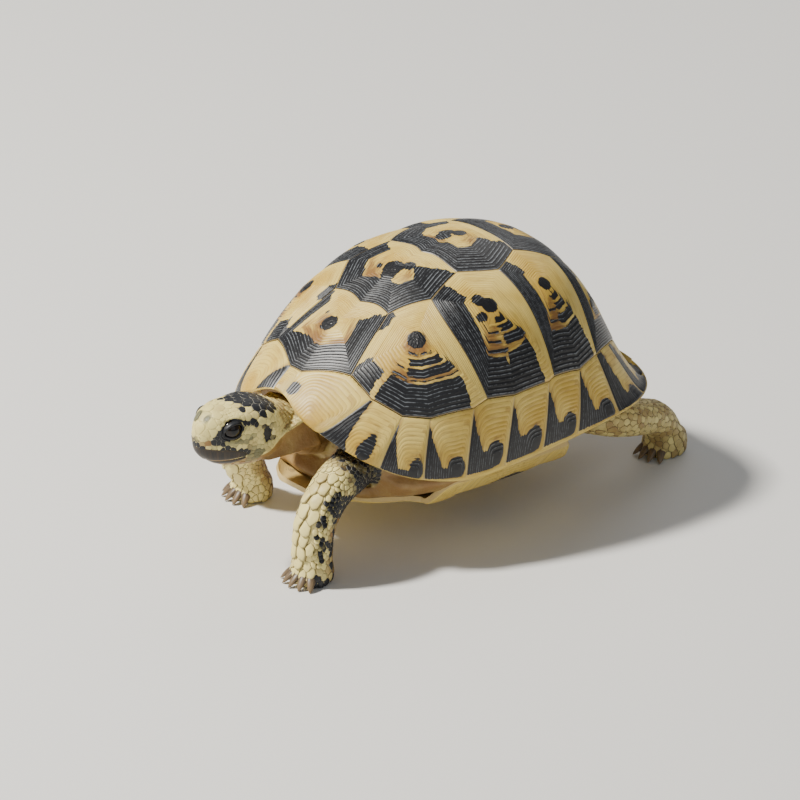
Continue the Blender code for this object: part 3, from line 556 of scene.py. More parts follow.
# ---- rim of the shell ----
# Eleven horn plates a side, one over the neck and one over the tail edge the shell. Each
# comes down to the rim, turns under it, and grew from its lower rear corner. Its black
# is a wedge along the front seam, often joined to a blot near the rim.
RIM_ANGLES = {"nuchal": 1.8, "m1_m2": 19.5, "m2_m3": 43.3, "m3_m4": 59.0, "m4_m5": 72.6,
              "m5_m6": 84.2, "m6_m7": 93.0, "m7_m8": 103.5, "m8_m9": 119.9, "m9_m10": 139.0,
              "m10_m11": 155.0, "m11_tail": 168.0}
MARGINALS = {
    1: (["nuchal_top", "v1_side", "m1_m2_top"], "nuchal", "m1_m2"),
    2: (["m1_m2_top", "m2_m3_top"], "m1_m2", "m2_m3"),
    3: (["m2_m3_top", "m3_m4_top"], "m2_m3", "m3_m4"),
    4: (["m3_m4_top", "m4_m5_top"], "m3_m4", "m4_m5"),
    5: (["m4_m5_top", "c1_c2_low", "m5_m6_top"], "m4_m5", "m5_m6"),
    6: (["m5_m6_top", "m6_m7_top"], "m5_m6", "m6_m7"),
    7: (["m6_m7_top", "c2_c3_low", "m7_m8_top"], "m6_m7", "m7_m8"),
    8: (["m7_m8_top", "m8_m9_top"], "m7_m8", "m8_m9"),
    9: (["m8_m9_top", "m9_m10_top"], "m8_m9", "m9_m10"),
    10: (["m9_m10_top", "m10_m11_top"], "m9_m10", "m10_m11"),
    11: (["m10_m11_top", "v5_side", "m11_tail_top"], "m10_m11", "m11_tail"),
}
# Each plate's black: the wedge's width at the top and at the rim, as shares of the
# plate, the blot's place (back, down), its radius in millimetres and how tall it is for
# its width, and the share of the way down from which the two are joined.
RIM_MARKS = {
    1: (-0.3, -0.1, 0.07, 0.60, 3.7, 1.4, 2.0), 2: (0.10, 0.50, 0.67, 0.60, 2.8, 2.3, 2.0),
    3: (-0.02, 0.56, 0.80, 0.74, 2.7, 1.9, 0.76), 4: (-0.04, 0.60, 0.72, 0.78, 4.0, 1.4, 0.72),
    5: (-0.04, 0.60, 0.66, 0.72, 4.2, 1.4, 0.62), 6: (-0.04, 0.60, 0.64, 0.72, 4.1, 1.5, 0.58),
    7: (-0.04, 0.58, 0.64, 0.74, 4.1, 1.4, 0.62), 8: (0.02, 0.60, 0.68, 0.78, 4.3, 1.3, 0.68),
    9: (0.30, 0.50, 0.70, 0.80, 4.4, 1.4, 0.66), 10: (0.30, 0.46, 0.66, 0.76, 4.6, 1.4, 0.66),
    11: (0.30, 0.46, 0.62, 0.72, 5.0, 1.2, 0.70), "nuchal": (-0.3, -0.3, 0.5, -0.5, 0.5, 1.0, 2.0),
    "supracaudal": (0.20, 0.24, 0.70, 0.70, 5.4, 1.1, 2.0),
    "1_right": (0.02, 0.42, 0.10, 0.60, 2.0, 1.4, 2.0),
}
RIM_AREOLA = (0.80, 0.88)
LIP_WIDTH, LIP_SHARE = 7.5 * MM, 0.85
LIP_DROP_FLANK, LIP_RISE_FRONT, LIP_DROP_REAR = 6.0 * MM, 1.5 * MM, 2.5 * MM
RIM_WALL = 2.3 * MM
RIM_EDGE = 0.935               # the black stops this far down, short of the rim
RIM_ROWS, LIP_ROWS, INNER_ROWS = 56, 15, 7
RIM_COLUMN = 0.62 * MM
RIM_RINGS, RING_SQUARENESS = 12, 7
RIM_SMOOTHINGS, RIM_SMOOTH_ROWS = 5, 4
RIM_JITTER = 0.3


def rim_place(angle):
    """Where the shell ends in a direction: at full reach, less over the neck."""
    return disc(angle, 1.0 - NECK_NOTCH * np.exp(-(angle / NECK_NOTCH_ANGLE) ** 2))


def lip_points(place, inside, room):
    """The inner edge of the turned-under part, under places of the rim."""
    rim = on_shell(place)
    fore = (place[..., 1] / np.linalg.norm(place, axis=-1))[..., None]
    flank = smooth(1.6 - 2.6 * np.abs(fore))
    from_shell = rim - SHELL
    inward = np.stack([-from_shell[..., 0], -0.75 * from_shell[..., 1],
                       np.zeros(len(rim))], -1)
    along = (inside - rim) * (1, 1, 0)
    unit = [way / np.linalg.norm(way, axis=-1, keepdims=True) for way in (inward, along)]
    inward = flank * unit[0] + (1 - flank) * unit[1]
    inward /= np.linalg.norm(inward, axis=-1, keepdims=True)
    ends = np.where(fore > 0, LIP_RISE_FRONT, -LIP_DROP_REAR)
    lift = ends * (1 - flank) - LIP_DROP_FLANK * flank
    width = np.minimum(LIP_WIDTH, LIP_SHARE * room)[..., None]
    return rim + (inward + lift * (0, 0, 1 / LIP_WIDTH)) * width


def rim_mark(marks, back, down, width, deep, jitter):
    """How far, in millimetres, each point lies inside a rim plate's black."""
    wedge_top, wedge_rim, blot_back, blot_down, blot_radius, tall, bar = marks
    wedge = (wedge_top + (wedge_rim - wedge_top) * down - back) * width + jitter
    blot = blot_radius - np.hypot((back - blot_back) * width, (down - blot_down) * deep / tall)
    bridge = np.minimum((blot_back - back) * width, (down - bar) * deep)
    mark = np.maximum(np.maximum(wedge, blot), bridge)
    return np.minimum(mark, (RIM_EDGE - down) * deep)


def rim_plate(name, top, first_angle, last_angle, marks, seed):
    """A plate from the dome's edge down to the rim and round under it as a lip."""
    top = np.array(top)
    steps = np.linalg.norm(np.diff(on_shell(top), axis=0), axis=-1)
    lengths = np.concatenate([[0], np.cumsum(steps)])
    rim_ends = on_shell(rim_place(np.array([first_angle, last_angle])))
    longest = max(lengths[-1], np.linalg.norm(rim_ends[1] - rim_ends[0]))
    columns = max(14, round(longest / RIM_COLUMN))
    back_share = np.concatenate([[0.001], np.linspace(0.012, 0.988, columns - 2), [0.999]])
    upper = np.stack([np.interp(back_share, lengths / lengths[-1], top[:, i])
                      for i in range(2)], -1)
    rim = rim_place(first_angle + (last_angle - first_angle) * back_share)
    upper = upper + (rim - upper) * 0.01
    down = np.linspace(0, 1, RIM_ROWS)
    places = upper + (rim - upper) * down[:, None, None]
    surface = on_shell(places)
    width = np.linalg.norm(surface[RIM_ROWS // 2, -1] - surface[RIM_ROWS // 2, 0]) / MM
    deep = np.linalg.norm(on_shell(rim) - on_shell(upper), axis=-1).mean() / MM
    # Rings are squared off round the areola, so ridges follow the seams.
    back_way = np.where(back_share < RIM_AREOLA[0], 1 - back_share / RIM_AREOLA[0],
                        (back_share - RIM_AREOLA[0]) / (1 - RIM_AREOLA[0]))
    down_way = np.where(down < RIM_AREOLA[1], 1 - down / RIM_AREOLA[1],
                        (down - RIM_AREOLA[1]) / (1 - RIM_AREOLA[1]))[:, None]
    share = (back_way ** RING_SQUARENESS + down_way ** RING_SQUARENESS) ** (1 / RING_SQUARENESS)
    turn = np.arctan2(back_share - RIM_AREOLA[0], (down - RIM_AREOLA[1])[:, None])
    height, ring = growth_relief(np.clip(share, 0, 0.96), turn, RIM_RINGS, seed)
    height -= 0.5 * PLATE_BULGE
    to_seam = np.minimum(np.minimum(back_share, 1 - back_share) * width, down[:, None] * deep)
    height -= SEAM_DROP * smooth(1 - to_seam / 0.9) ** 2
    dorsal = surface + normals_of(on_shell, places) * height[..., None]
    last_quarter = np.linalg.norm(surface[-1] - surface[RIM_ROWS * 3 // 4], axis=-1)
    lip = lip_points(rim, surface[RIM_ROWS // 4], last_quarter)
    under_share = np.linspace(0, 1, LIP_ROWS)[1:, None, None]
    ventral = dorsal[-1] + (lip - dorsal[-1]) * under_share
    ventral[..., 2] -= 0.5 * MM * np.sin(math.pi * under_share[..., 0])
    inner_down = np.linspace(0.80, 0, INNER_ROWS)[:, None, None]
    inner_places = upper + (rim - upper) * inner_down
    inner = on_shell(inner_places) - normals_of(on_shell, inner_places) * RIM_WALL
    points = np.concatenate([dorsal, ventral, inner, dorsal[:1]])
    first, last = RIM_ROWS - 1 - RIM_SMOOTH_ROWS, RIM_ROWS + RIM_SMOOTH_ROWS
    for _ in range(RIM_SMOOTHINGS):
        above, below = points[first - 1:last - 1], points[first + 1:last + 1]
        points[first:last] = 0.5 * points[first:last] + 0.25 * (above + below)
    jitter = RIM_JITTER * wobble(share * 40, seed + 3, waves=EDGE_WAVES)
    mark = rim_mark(marks, back_share, down[:, None], width, deep, jitter)
    rest = len(points) - len(dorsal)

    def padded(values, filler):
        return np.concatenate([np.broadcast_to(values, dorsal.shape[:2]),
                               np.full((rest, columns), filler)])

    fields = {"growth": padded(np.where(to_seam < 0.25, 1.0, share * 0.9), 0.9),
              "ring": padded(ring, 0.5), "round": padded(turn * FIBRES_ROUND, 0.0),
              "mark": padded(mark, NO_MARK),
              "brown": padded(mark + 1.2 - 2.2 * down[:, None], NO_MARK)}
    return wrap_grid(name, points, fields, rim_finish)


def add_rim_plate(node, top, first_angle, last_angle, marks, seed):
    """The horn over one of the rim's solids, fixed to the body."""
    plate = rim_plate("rim_plate_" + node, top, first_angle, last_angle, marks, seed)
    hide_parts(node)
    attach(plate, "root")


# The rim's plates carry fewer pale crest lines: less wear and less painted highlight.
rim_finish = horn_finish("rim_horn", edge_noise=0.80, wear_and_glint=0.50)
for side, word in ((1, "left"), (-1, "right")):
    for number, (top, first, last) in MARGINALS.items():
        add_rim_plate(f"marginal_{word}_{number}", [corner(name, side) for name in top],
                      RIM_ANGLES[first] * side, RIM_ANGLES[last] * side,
                      RIM_MARKS.get(f"{number}_{word}", RIM_MARKS.get(number)),
                      300 + 10 * number + side)
add_rim_plate("nuchal", [corner("nuchal_top"), corner("nuchal_top", -1)],
              RIM_ANGLES["nuchal"], -RIM_ANGLES["nuchal"], RIM_MARKS["nuchal"], 290)
add_rim_plate("supracaudal",
              [corner("m11_tail_top"), corner("tail_top"), corner("m11_tail_top", -1)],
              RIM_ANGLES["m11_tail"], 360.0 - RIM_ANGLES["m11_tail"], RIM_MARKS["supracaudal"],
              291)

# ---- plastron ----
# The belly shield is six pairs of thin plates on a flat bone floor, worn smooth, with
# two bridges that climb to the rim between the legs. Each plate carries one dark blot.
BELLY, BELLY_WALL = -22.0 * MM, 2.4 * MM
BELLY_OUTLINE = {-70.0: 9.0, -68.0: 15.0, -60.0: 23.0, -48.0: 29.0, -38.0: 34.0, -31.0: 48.0,
                 -26.0: 52.5, 28.0: 52.5, 34.0: 48.0, 41.0: 34.0, 50.0: 30.0, 60.0: 25.0,
                 67.0: 18.0, 72.0: 10.0}
BELLY_FLAT, BRIDGE_REACH, BRIDGE_RISE = 37.0 * MM, 52.5 * MM, 12.4 * MM
GULAR_START, GULAR_RUN, GULAR_RISE = 45.0 * MM, 25.0 * MM, 4.0 * MM
ANAL_START, ANAL_RUN, ANAL_RISE = 50.0 * MM, 24.0 * MM, 2.0 * MM
EDGE_RISE = 1.5 * MM
BELLY_ROUNDING = (-2.2, -1.1, 0.0, 1.1, 2.2)
BELLY_RINGS, BELLY_STEP, BELLY_STATION = 9, 1.3 * MM, 2.2
BELLY_AREOLA = (0.62, 0.66)    # as shares of a plate's width and length
# Two dark spots a plate: (corner, share, radius as a share of the plate's length).
BELLY_SPOTS = ((0.0, 0.08, 0.30), (0.4, 0.40, 0.18))
BELLY_SEAMS = {"gular": (-70.0, -57.0), "humeral": (-57.0, -36.0), "pectoral": (-36.0, -20.0),
               "abdominal": (-20.0, 25.0), "femoral": (25.0, 51.0), "anal": (51.0, 72.0)}


def belly_half_width(y):
    """Half the belly's width, with the outline's corners rounded off."""
    return np.mean([np.interp(y / MM + shift, list(BELLY_OUTLINE), list(BELLY_OUTLINE.values()))
                    for shift in BELLY_ROUNDING], axis=0) * MM


def on_belly(place):
    """The belly's outer, lower surface over places (across, back)."""
    x, y = place[..., 0], place[..., 1]
    rise = BRIDGE_RISE * smooth((np.abs(x) - BELLY_FLAT) / (BRIDGE_REACH - BELLY_FLAT))
    ends = GULAR_RISE * smooth((-y - GULAR_START) / GULAR_RUN)
    ends += ANAL_RISE * smooth((y - ANAL_START) / ANAL_RUN)
    edge = EDGE_RISE * smooth(5 * np.abs(x) / belly_half_width(y) - 4)
    z = BELLY + rise + ends + edge * (1 - smooth(rise / MM))
    return np.stack([x, y, z], -1) + SHELL


belly_finish = horn_finish("belly_horn", edge_noise=3.0, wear_and_glint=0.5)
for seed, (word, (start, end)) in enumerate(BELLY_SEAMS.items()):
    stations = np.linspace(start, end, max(4, round((end - start) / BELLY_STATION)))[1:-1]
    for side, side_word in ((1, "left"), (-1, "right")):
        outline = [(0.0, start)]
        outline += [(belly_half_width(y * MM) / MM * side, y) for y in [start, *stations, end]]
        outline += [(0.0, end)]
        half = belly_half_width((start + end) / 2 * MM) / MM
        areola = np.array([BELLY_AREOLA[0] * half * side,
                           start + BELLY_AREOLA[1] * (end - start)]) * MM
        spots = [(corner_count, share, radius * (end - start))
                 for corner_count, share, radius in BELLY_SPOTS]
        marks = {"mark": ((), (), spots), "brown": ((), (), ())}
        plate = horn_plate(f"belly_plate_{word}_{side_word}", on_belly,
                           [np.array(point) * MM for point in outline], areola, BELLY_RINGS,
                           marks, belly_finish, step=BELLY_STEP,
                           seed=600 + 10 * seed + side, wall=BELLY_WALL)
        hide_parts("plastron_" + word)
        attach(plate, "root")

# ---- skin ----
# One soft skin covers trunk, neck, head, legs, feet and tail. The solid flesh is copied,
# swelled until its gaps close, remeshed as one, drawn in again by the scales' depth and
# smoothed. Then come the head's hollows, the neck's folds and hood, and the chest.
FLESH = ["trunk", "neck", "head", "lower_jaw", "tail"]
FLESH += [f"{part}_{end}_{side}" for part in ("leg", "foot") for end in ("front", "hind")
          for side in ("left", "right")]
SWELL, VOXEL, COAT_DEPTH = 0.45 * MM, 0.8 * MM, 0.40 * MM
SKIN_SMOOTHINGS, HIDDEN_RATIO = 22, 0.06
UNWRAP_ANGLE = math.radians(66)
BELLY_SAG = 2.0 * MM           # the soft trunk rests down on the plastron's horn
# The soles lie between two heights above the floor, and whatever is lower than the third
# is pressed flat into them.
SOLE, SOLE_TOP, FLAT_BELOW = 0.25 * MM, 0.45 * MM, 0.9 * MM
CHEST_FORWARD, CHEST_WIDER, ABOVE_PLATE = 6.5, 0.17, 1.2

# Each limb's line of centres, root to tip, with its radius: (x, y, z, radius), in mm.
LIMBS = {
    "neck": [(0, -52, 6, 12), (0, -66, 8.5, 12), (0, -76, 11.5, 11), (0, -81.2, 14.5, 11),
             (0, -86.5, 16.0, 12)],
    "tail": [(0, 60, -5, 7), (0, 72, -8, 6.2), (1, 82, -13, 5), (3, 90, -19, 3), (4, 94, -23, 1)],
    "front_left": [(20, -44, -2, 9), (25, -57, -1, 9), (30, -70, -2, 9), (32, -79, -6, 8.5),
                   (32, -86, -17, 8.3), (32, -87, -30.5, 8.1), (32, -87, -41, 8.1)],
    "front_right": [(-22, -46, -4, 9), (-29, -56, -4, 9), (-36, -65, -8, 9), (-40, -66, -16, 8.5),
                    (-42, -62, -24, 8.3), (-43, -58, -30.5, 8.1), (-43, -57, -41, 8.1)],
    "hind_left": [(24, 42, -6, 8.7), (32, 52, -8.7, 8.9), (38, 65, -12.5, 8.7),
                  (36.5, 79, -17, 8.2), (33.5, 92, -21.5, 8), (31, 101, -30.5, 8.2),
                  (31, 101.5, -41, 8.8)],
    "hind_right": [(-24, 40, -6, 8.7), (-33.5, 46, -8, 8.7), (-41.5, 52, -13.5, 9),
                   (-45, 55, -20.5, 8.9), (-46, 55, -30.5, 8.7), (-46, 55, -41, 9)],
}
# A place belongs to the limb of this number, to the head or to the bare trunk.
NECK, TAIL, FORELEGS, HIND_LEGS = 0, 1, (2, 3), (4, 5)
HEAD, TRUNK = -1, -2
HEAD_BACK = -85.8
BARE_FROM = 2.2                # skin this far from every limb's surface is the trunk's
# A hood of loose skin hangs on each side from the jaw's corner back to the shell: how
# high its upper and lower edges lie, and how far out, from front to rear.
HOOD_Y = [-98.0, -93.0, -90.0, -85.0, -80.7, -76.6, -72.0]
HOOD_TOP = [9.3, 11.2, 13.4, 16.4, 17.6, 18.8, 20.0]
HOOD_FOOT = [7.0, 5.6, 5.7, 5.9, 6.3, 6.8, 7.8]
HOOD_OUT = [11.4, 12.6, 13.2, 14.0, 15.0, 16.4, 18.6]
HOOD_TOP_OUT, HOOD_HOLLOW = 13.4, 1.3


def apply_modifier(piece, kind, **settings):
    """Changes a piece's mesh by one modifier."""
    bpy.context.view_layer.objects.active = piece
    modifier = piece.modifiers.new(kind.lower(), kind)
    for setting, value in settings.items():
        setattr(modifier, setting, value)
    bpy.ops.object.modifier_apply(modifier=modifier.name)


def flesh_copy(node):
    """A solid's mesh as a new piece, with its split points merged, a little swelled."""
    piece = bpy.data.objects.new(node + "_copy", bpy.data.objects[node].data.copy())
    bpy.context.scene.collection.objects.link(piece)
    bpy.ops.object.select_all(action='DESELECT')
    piece.select_set(True)
    bpy.context.view_layer.objects.active = piece
    bpy.ops.object.mode_set(mode='EDIT')
    bpy.ops.mesh.select_all(action='SELECT')
    bpy.ops.mesh.remove_doubles(threshold=MERGE)
    if node == "trunk":
        bpy.ops.transform.translate(value=(0, 0, -BELLY_SAG))
    bpy.ops.object.mode_set(mode='OBJECT')
    apply_modifier(piece, 'DISPLACE', strength=SWELL, mid_level=0.0)
    return piece


def read_points(piece, what="co"):
    """Every point's place, or its direction outward, as rows of three."""
    values = np.empty(len(piece.data.vertices) * 3, np.float32)
    if what == "normal":
        piece.data.vertex_normals.foreach_get("vector", values)
    else:
        piece.data.vertices.foreach_get(what, values)
    return values.reshape(-1, 3).astype(float)


def change_faces(piece, test, change, **settings):
    """Does a mesh operation to the faces that pass a test on shell millimetres."""
    middles = np.empty(len(piece.data.polygons) * 3, np.float32)
    piece.data.polygons.foreach_get("center", middles)
    chosen = test(*((middles.reshape(-1, 3) - SHELL) / MM).T)
    bpy.ops.object.mode_set(mode='EDIT')
    bpy.ops.mesh.select_mode(type='FACE')
    bpy.ops.mesh.select_all(action='DESELECT')
    bpy.ops.object.mode_set(mode='OBJECT')
    piece.data.polygons.foreach_set("select", chosen)
    bpy.ops.object.mode_set(mode='EDIT')
    change(**settings)
    bpy.ops.object.mode_set(mode='OBJECT')


def joined(name, pieces):
    """One piece made of several."""
    bpy.ops.object.select_all(action='DESELECT')
    for piece in pieces:
        piece.select_set(True)
    bpy.context.view_layer.objects.active = pieces[0]
    bpy.ops.object.join()
    pieces[0].name = pieces[0].data.name = name
    return pieces[0]


skin = joined("skin", [flesh_copy(node) for node in FLESH])
skin.data.materials.clear()
apply_modifier(skin, 'REMESH', mode='VOXEL', voxel_size=VOXEL, use_smooth_shade=True)
apply_modifier(skin, 'DISPLACE', strength=-SWELL - COAT_DEPTH, mid_level=0.0)
apply_modifier(skin, 'SMOOTH', factor=0.5, iterations=SKIN_SMOOTHINGS)
# The part inside the shell is thinned, and the head and then the snout are made finer.
change_faces(skin, lambda x, y, z: (z > 14) & (y > -62) | (z > 4) & (np.abs(y) < 46),
             bpy.ops.mesh.decimate, ratio=HIDDEN_RATIO)
change_faces(skin, lambda x, y, z: y < -79, bpy.ops.mesh.subdivide, number_cuts=1)
change_faces(skin, lambda x, y, z: (y < -113) & (np.abs(x) < 8) & (z > 12) & (z < 26),
             bpy.ops.mesh.subdivide, number_cuts=1)


def along_limb(points, knots):
    """(how far out from a limb's surface, length along it, its direction) at points."""
    knots = np.array(knots, float)
    best = np.full(len(points), 1e9)
    length, way = np.zeros(len(points)), np.zeros((len(points), 3))
    run = 0.0
    for start, end in zip(knots[:-1], knots[1:]):
        span = end[:3] - start[:3]
        size = np.linalg.norm(span)
        share = np.clip((points - start[:3]) @ span / size ** 2, 0, 1)
        nearest = start[:3] + share[:, None] * span
        out = np.linalg.norm(points - nearest, axis=-1)
        out -= start[3] + (end[3] - start[3]) * share
        closer = out < best
        best = np.where(closer, out, best)
        length = np.where(closer, run + share * size, length)
        way = np.where(closer[:, None], span / size, way)
        run += size
    return best, length, way


def region_of(points):
    """(region's number, length along it, its direction) of points in shell millimetres."""
    found = [along_limb(points, knots) for knots in LIMBS.values()]
    out = np.stack([row[0] for row in found])
    region = out.argmin(0)
    pick = np.arange(len(points))
    length = np.stack([row[1] for row in found])[region, pick]
    way = np.stack([row[2] for row in found])[region, pick]
    head = (points[:, 1] < HEAD_BACK) & (np.abs(points[:, 0]) < 16) & (points[:, 2] > -2)
    hooded = (points[:, 1] > HOOD_Y[0]) & (points[:, 1] < -62)
    hooded &= points[:, 2] < np.interp(points[:, 1], HOOD_Y, HOOD_TOP)
    head &= ~hooded
    region = np.where((out.min(0) > BARE_FROM) | hooded & (region == NECK), TRUNK, region)
    region = np.where(head, HEAD, region)
    way = np.where(head[:, None], (0.0, 1.0, 0.0), way)
    return region, length, way


def near(points, centre, sizes, mirrored=True):
    """1 at a place on the head and 0 away from it, by an ellipsoid of given sizes."""
    x = np.abs(points[:, 0]) if mirrored else points[:, 0]
    away = (np.stack([x, points[:, 1], points[:, 2]], -1) - centre) / sizes
    return np.exp(-(away ** 2).sum(-1))


def near_line(points, knots, width):
    """1 on a line through knots, on either side of the body, and 0 away from it."""
    mirrored = np.abs(points * (1, 0, 0)) + points * (0, 1, 1)
    out, _, _ = along_limb(mirrored, [(*knot, 0.0) for knot in knots])
    return np.exp(-(out / width) ** 2)


NOSTRIL = (1.6, -120.3, 18.8)
EAR, EAR_SIZE = (13.4, -94.2, 17.7), (5.0, 3.3, 4.6)
MOUTH = [(0, -121, 9.2), (6, -117, 9.3), (9.4, -110, 9.6), (11.4, -104, 10.0),
         (12.2, -100.5, 10.6)]
CHEEK_FOLD = [(9, -113, 16.6), (11, -106, 16.8), (12.5, -102, 18.5)]
# (height, place, sizes) of the brows, the hollow between, the nostrils and their rims.
HEAD_RELIEF = ((0.9, (8.9, -106.5, 26.3), (2.2, 5.5, 1.5)),
               (-0.5, (0.0, -116.5, 27.0), (2.2, 4.0, 3.5)),
               (-1.7, NOSTRIL, (0.62, 1.6, 0.50)), (0.30, NOSTRIL, (1.6, 2.0, 1.5)))
JAW_MUSCLE = (13.6, -95.0, 12.5), (3.0, 4.5, 3.0)
NECK_FOLD = 2.9                # from one neck fold to the next

points = (read_points(skin) - SHELL) / MM
normals = read_points(skin, "normal")
region, length, way = region_of(points)
lift = sum(height * near(points, *where) for height, *where in HEAD_RELIEF)
lift -= 0.55 * near_line(points, MOUTH, 0.42)
lift -= 0.65 * smooth(3.2 * near(points, EAR, EAR_SIZE) - 1.2)
lift += 0.5 * near(points, *JAW_MUSCLE)
lift += 0.4 * near_line(points, CHEEK_FOLD, 0.6)
neck = smooth((points[:, 1] + 86.5) / 3) * (region <= NECK) * (points[:, 1] < -60)
wave = points[:, 1] + 1.2 * np.sin(points[:, 0] * 0.23 + 1.0) + 0.7 * np.sin(points[:, 2] * 0.6)
rough = np.where(region == NECK, 0.26, 0.14)
lift += rough * neck * (np.sin(wave * 2 * math.pi / NECK_FOLD) + 0.4 * np.sin(wave * 4.9 + 1.3))
shifted = points + normals * np.where(points[:, 1] < -60, lift, 0.0)[:, None]
# The hood is drawn out sideways to its own width, sharpest along its two edges.
high, foot, out = (np.interp(points[:, 1], HOOD_Y, row)
                   for row in (HOOD_TOP, HOOD_FOOT, HOOD_OUT))
up_share = np.clip((points[:, 2] - foot) / (high - foot), 0, 1)
wide = out + (HOOD_TOP_OUT - out) * up_share - HOOD_HOLLOW * np.sin(math.pi * up_share)
wide = wide * smooth((points[:, 2] - foot + 1.6) / 1.8) * smooth((high + 0.9 - points[:, 2]) / 0.7)
wide *= smooth((points[:, 1] - HOOD_Y[0]) / 3.5) * smooth((-66 - points[:, 1]) / 5)
shifted[:, 0] = np.sign(points[:, 0]) * np.maximum(np.abs(shifted[:, 0]), wide)
# The chest comes forward, low down, to rest on the plastron's front.
chest = smooth((-6 - points[:, 2]) / 7) * smooth((-40 - points[:, 1]) / 10)
chest *= smooth((27 - np.abs(points[:, 0])) / 5) * (points[:, 1] > -70)
limbs = list(LIMBS.values())
from_legs = np.min([along_limb(points, limbs[leg])[0] for leg in FORELEGS + HIND_LEGS], axis=0)
chest *= smooth(from_legs / 4)
shifted[:, 1] -= CHEST_FORWARD * chest
# Its sides swell over the plastron, from the front legs back to the bridges.
swell = smooth((-3 - points[:, 2]) / 7) * smooth((np.abs(points[:, 0]) - 18) / 12)
swell *= smooth((59 + points[:, 1]) / 8) * smooth((-18 - points[:, 1]) / 8)
swell *= smooth((from_legs - 1) / 5) * (points[:, 2] > -21)
shifted[:, 0] *= 1 + CHEST_WIDER * swell
chest = np.maximum(chest, swell)
on_plate = (on_belly(shifted * MM)[:, 2] - SHELL[2]) / MM + ABOVE_PLATE
shifted[:, 2] += smooth(3 * chest) * np.maximum(on_plate - shifted[:, 2], 0)
place = shifted * MM + SHELL
height = place[:, 2]
place[:, 2] = np.where(height < FLAT_BELOW, np.clip(height, SOLE, SOLE_TOP), height)
skin.data.vertices.foreach_set("co", place.reshape(-1))
skin.data.update()
bpy.ops.object.select_all(action='DESELECT')
skin.select_set(True)
bpy.context.view_layer.objects.active = skin
bpy.ops.object.mode_set(mode='EDIT')
bpy.ops.mesh.select_all(action='SELECT')
bpy.ops.uv.smart_project(angle_limit=UNWRAP_ANGLE, island_margin=0.002)
bpy.ops.object.mode_set(mode='OBJECT')

# The markings are three numbers, worked out at any place by one function that skin and
# scales both use: how black, how far from cream towards tan, and how grey.

# (place, sizes) of the head's black spots: the eye's rim first, snout, brow, temple,
# the cap's front edge and the nostril.
BLACK_SPOTS = (((9.2, -109.3, 21.0), (4.0, 6.6, 3.6)), ((7.4, -114.0, 18.6), (3.0, 3.6, 2.4)),
               ((8.9, -107.6, 25.5), (3.0, 3.8, 2.0)), ((10.6, -103.0, 24.6), (2.4, 1.5, 1.3)),
               ((11.8, -99.9, 23.4), (2.4, 1.5, 1.6)), ((6.0, -102.3, 28.5), (1.2, 1.0, 1.5)),
               ((1.9, -120.2, 18.5), (1.5, 1.5, 1.2)))
# How far forward the black cap reaches and how low it comes, the top of the black band
# over the beak, and the top of the bare beak, each as knots along one direction.
CAP_EDGE = (0, 3.5, 5.6, 8.9, 20), (-103.6, -103.0, -99.8, -98.6, -98.6)
CAP_FOOT = (-104, -100, -96, -89), (26.6, 25.2, 24.0, 25.4)
BAND_TOP = (-121, -118.5, -115.6, -105, -102), (17.0, 16.6, 16.2, 15.2, 13.0)
BARE_TOP = (-121, -115.6, -103), (15.4, 14.2, 11.6)
GREY_BROW = (2.6, -116.2, 26.8), (2.4, 3.2, 2.4)
TAN_SNOUT = (4.5, -118.0, 16.8), (3.5, 3.0, 1.8)
# A grey streak along the cheek's fold below the eye: partly the skin's own grey, partly painted
# shade in the fold.
CHEEK_GREY_AND_SHADE = [(7, -114, 16.8), (11, -106, 16.6), (12.6, -101, 18.0)]
shades = np.random.default_rng(11)
MARK_WAVES = shades.normal(0, 0.55, (5, 3))
MARK_TURNS = shades.uniform(0, 2 * math.pi, 5)


def facing_of(points, normals):
    """How far each place faces forward, and out from the body's middle."""
    return -normals[:, 1], normals[:, 0] * np.sign(points[:, 0])


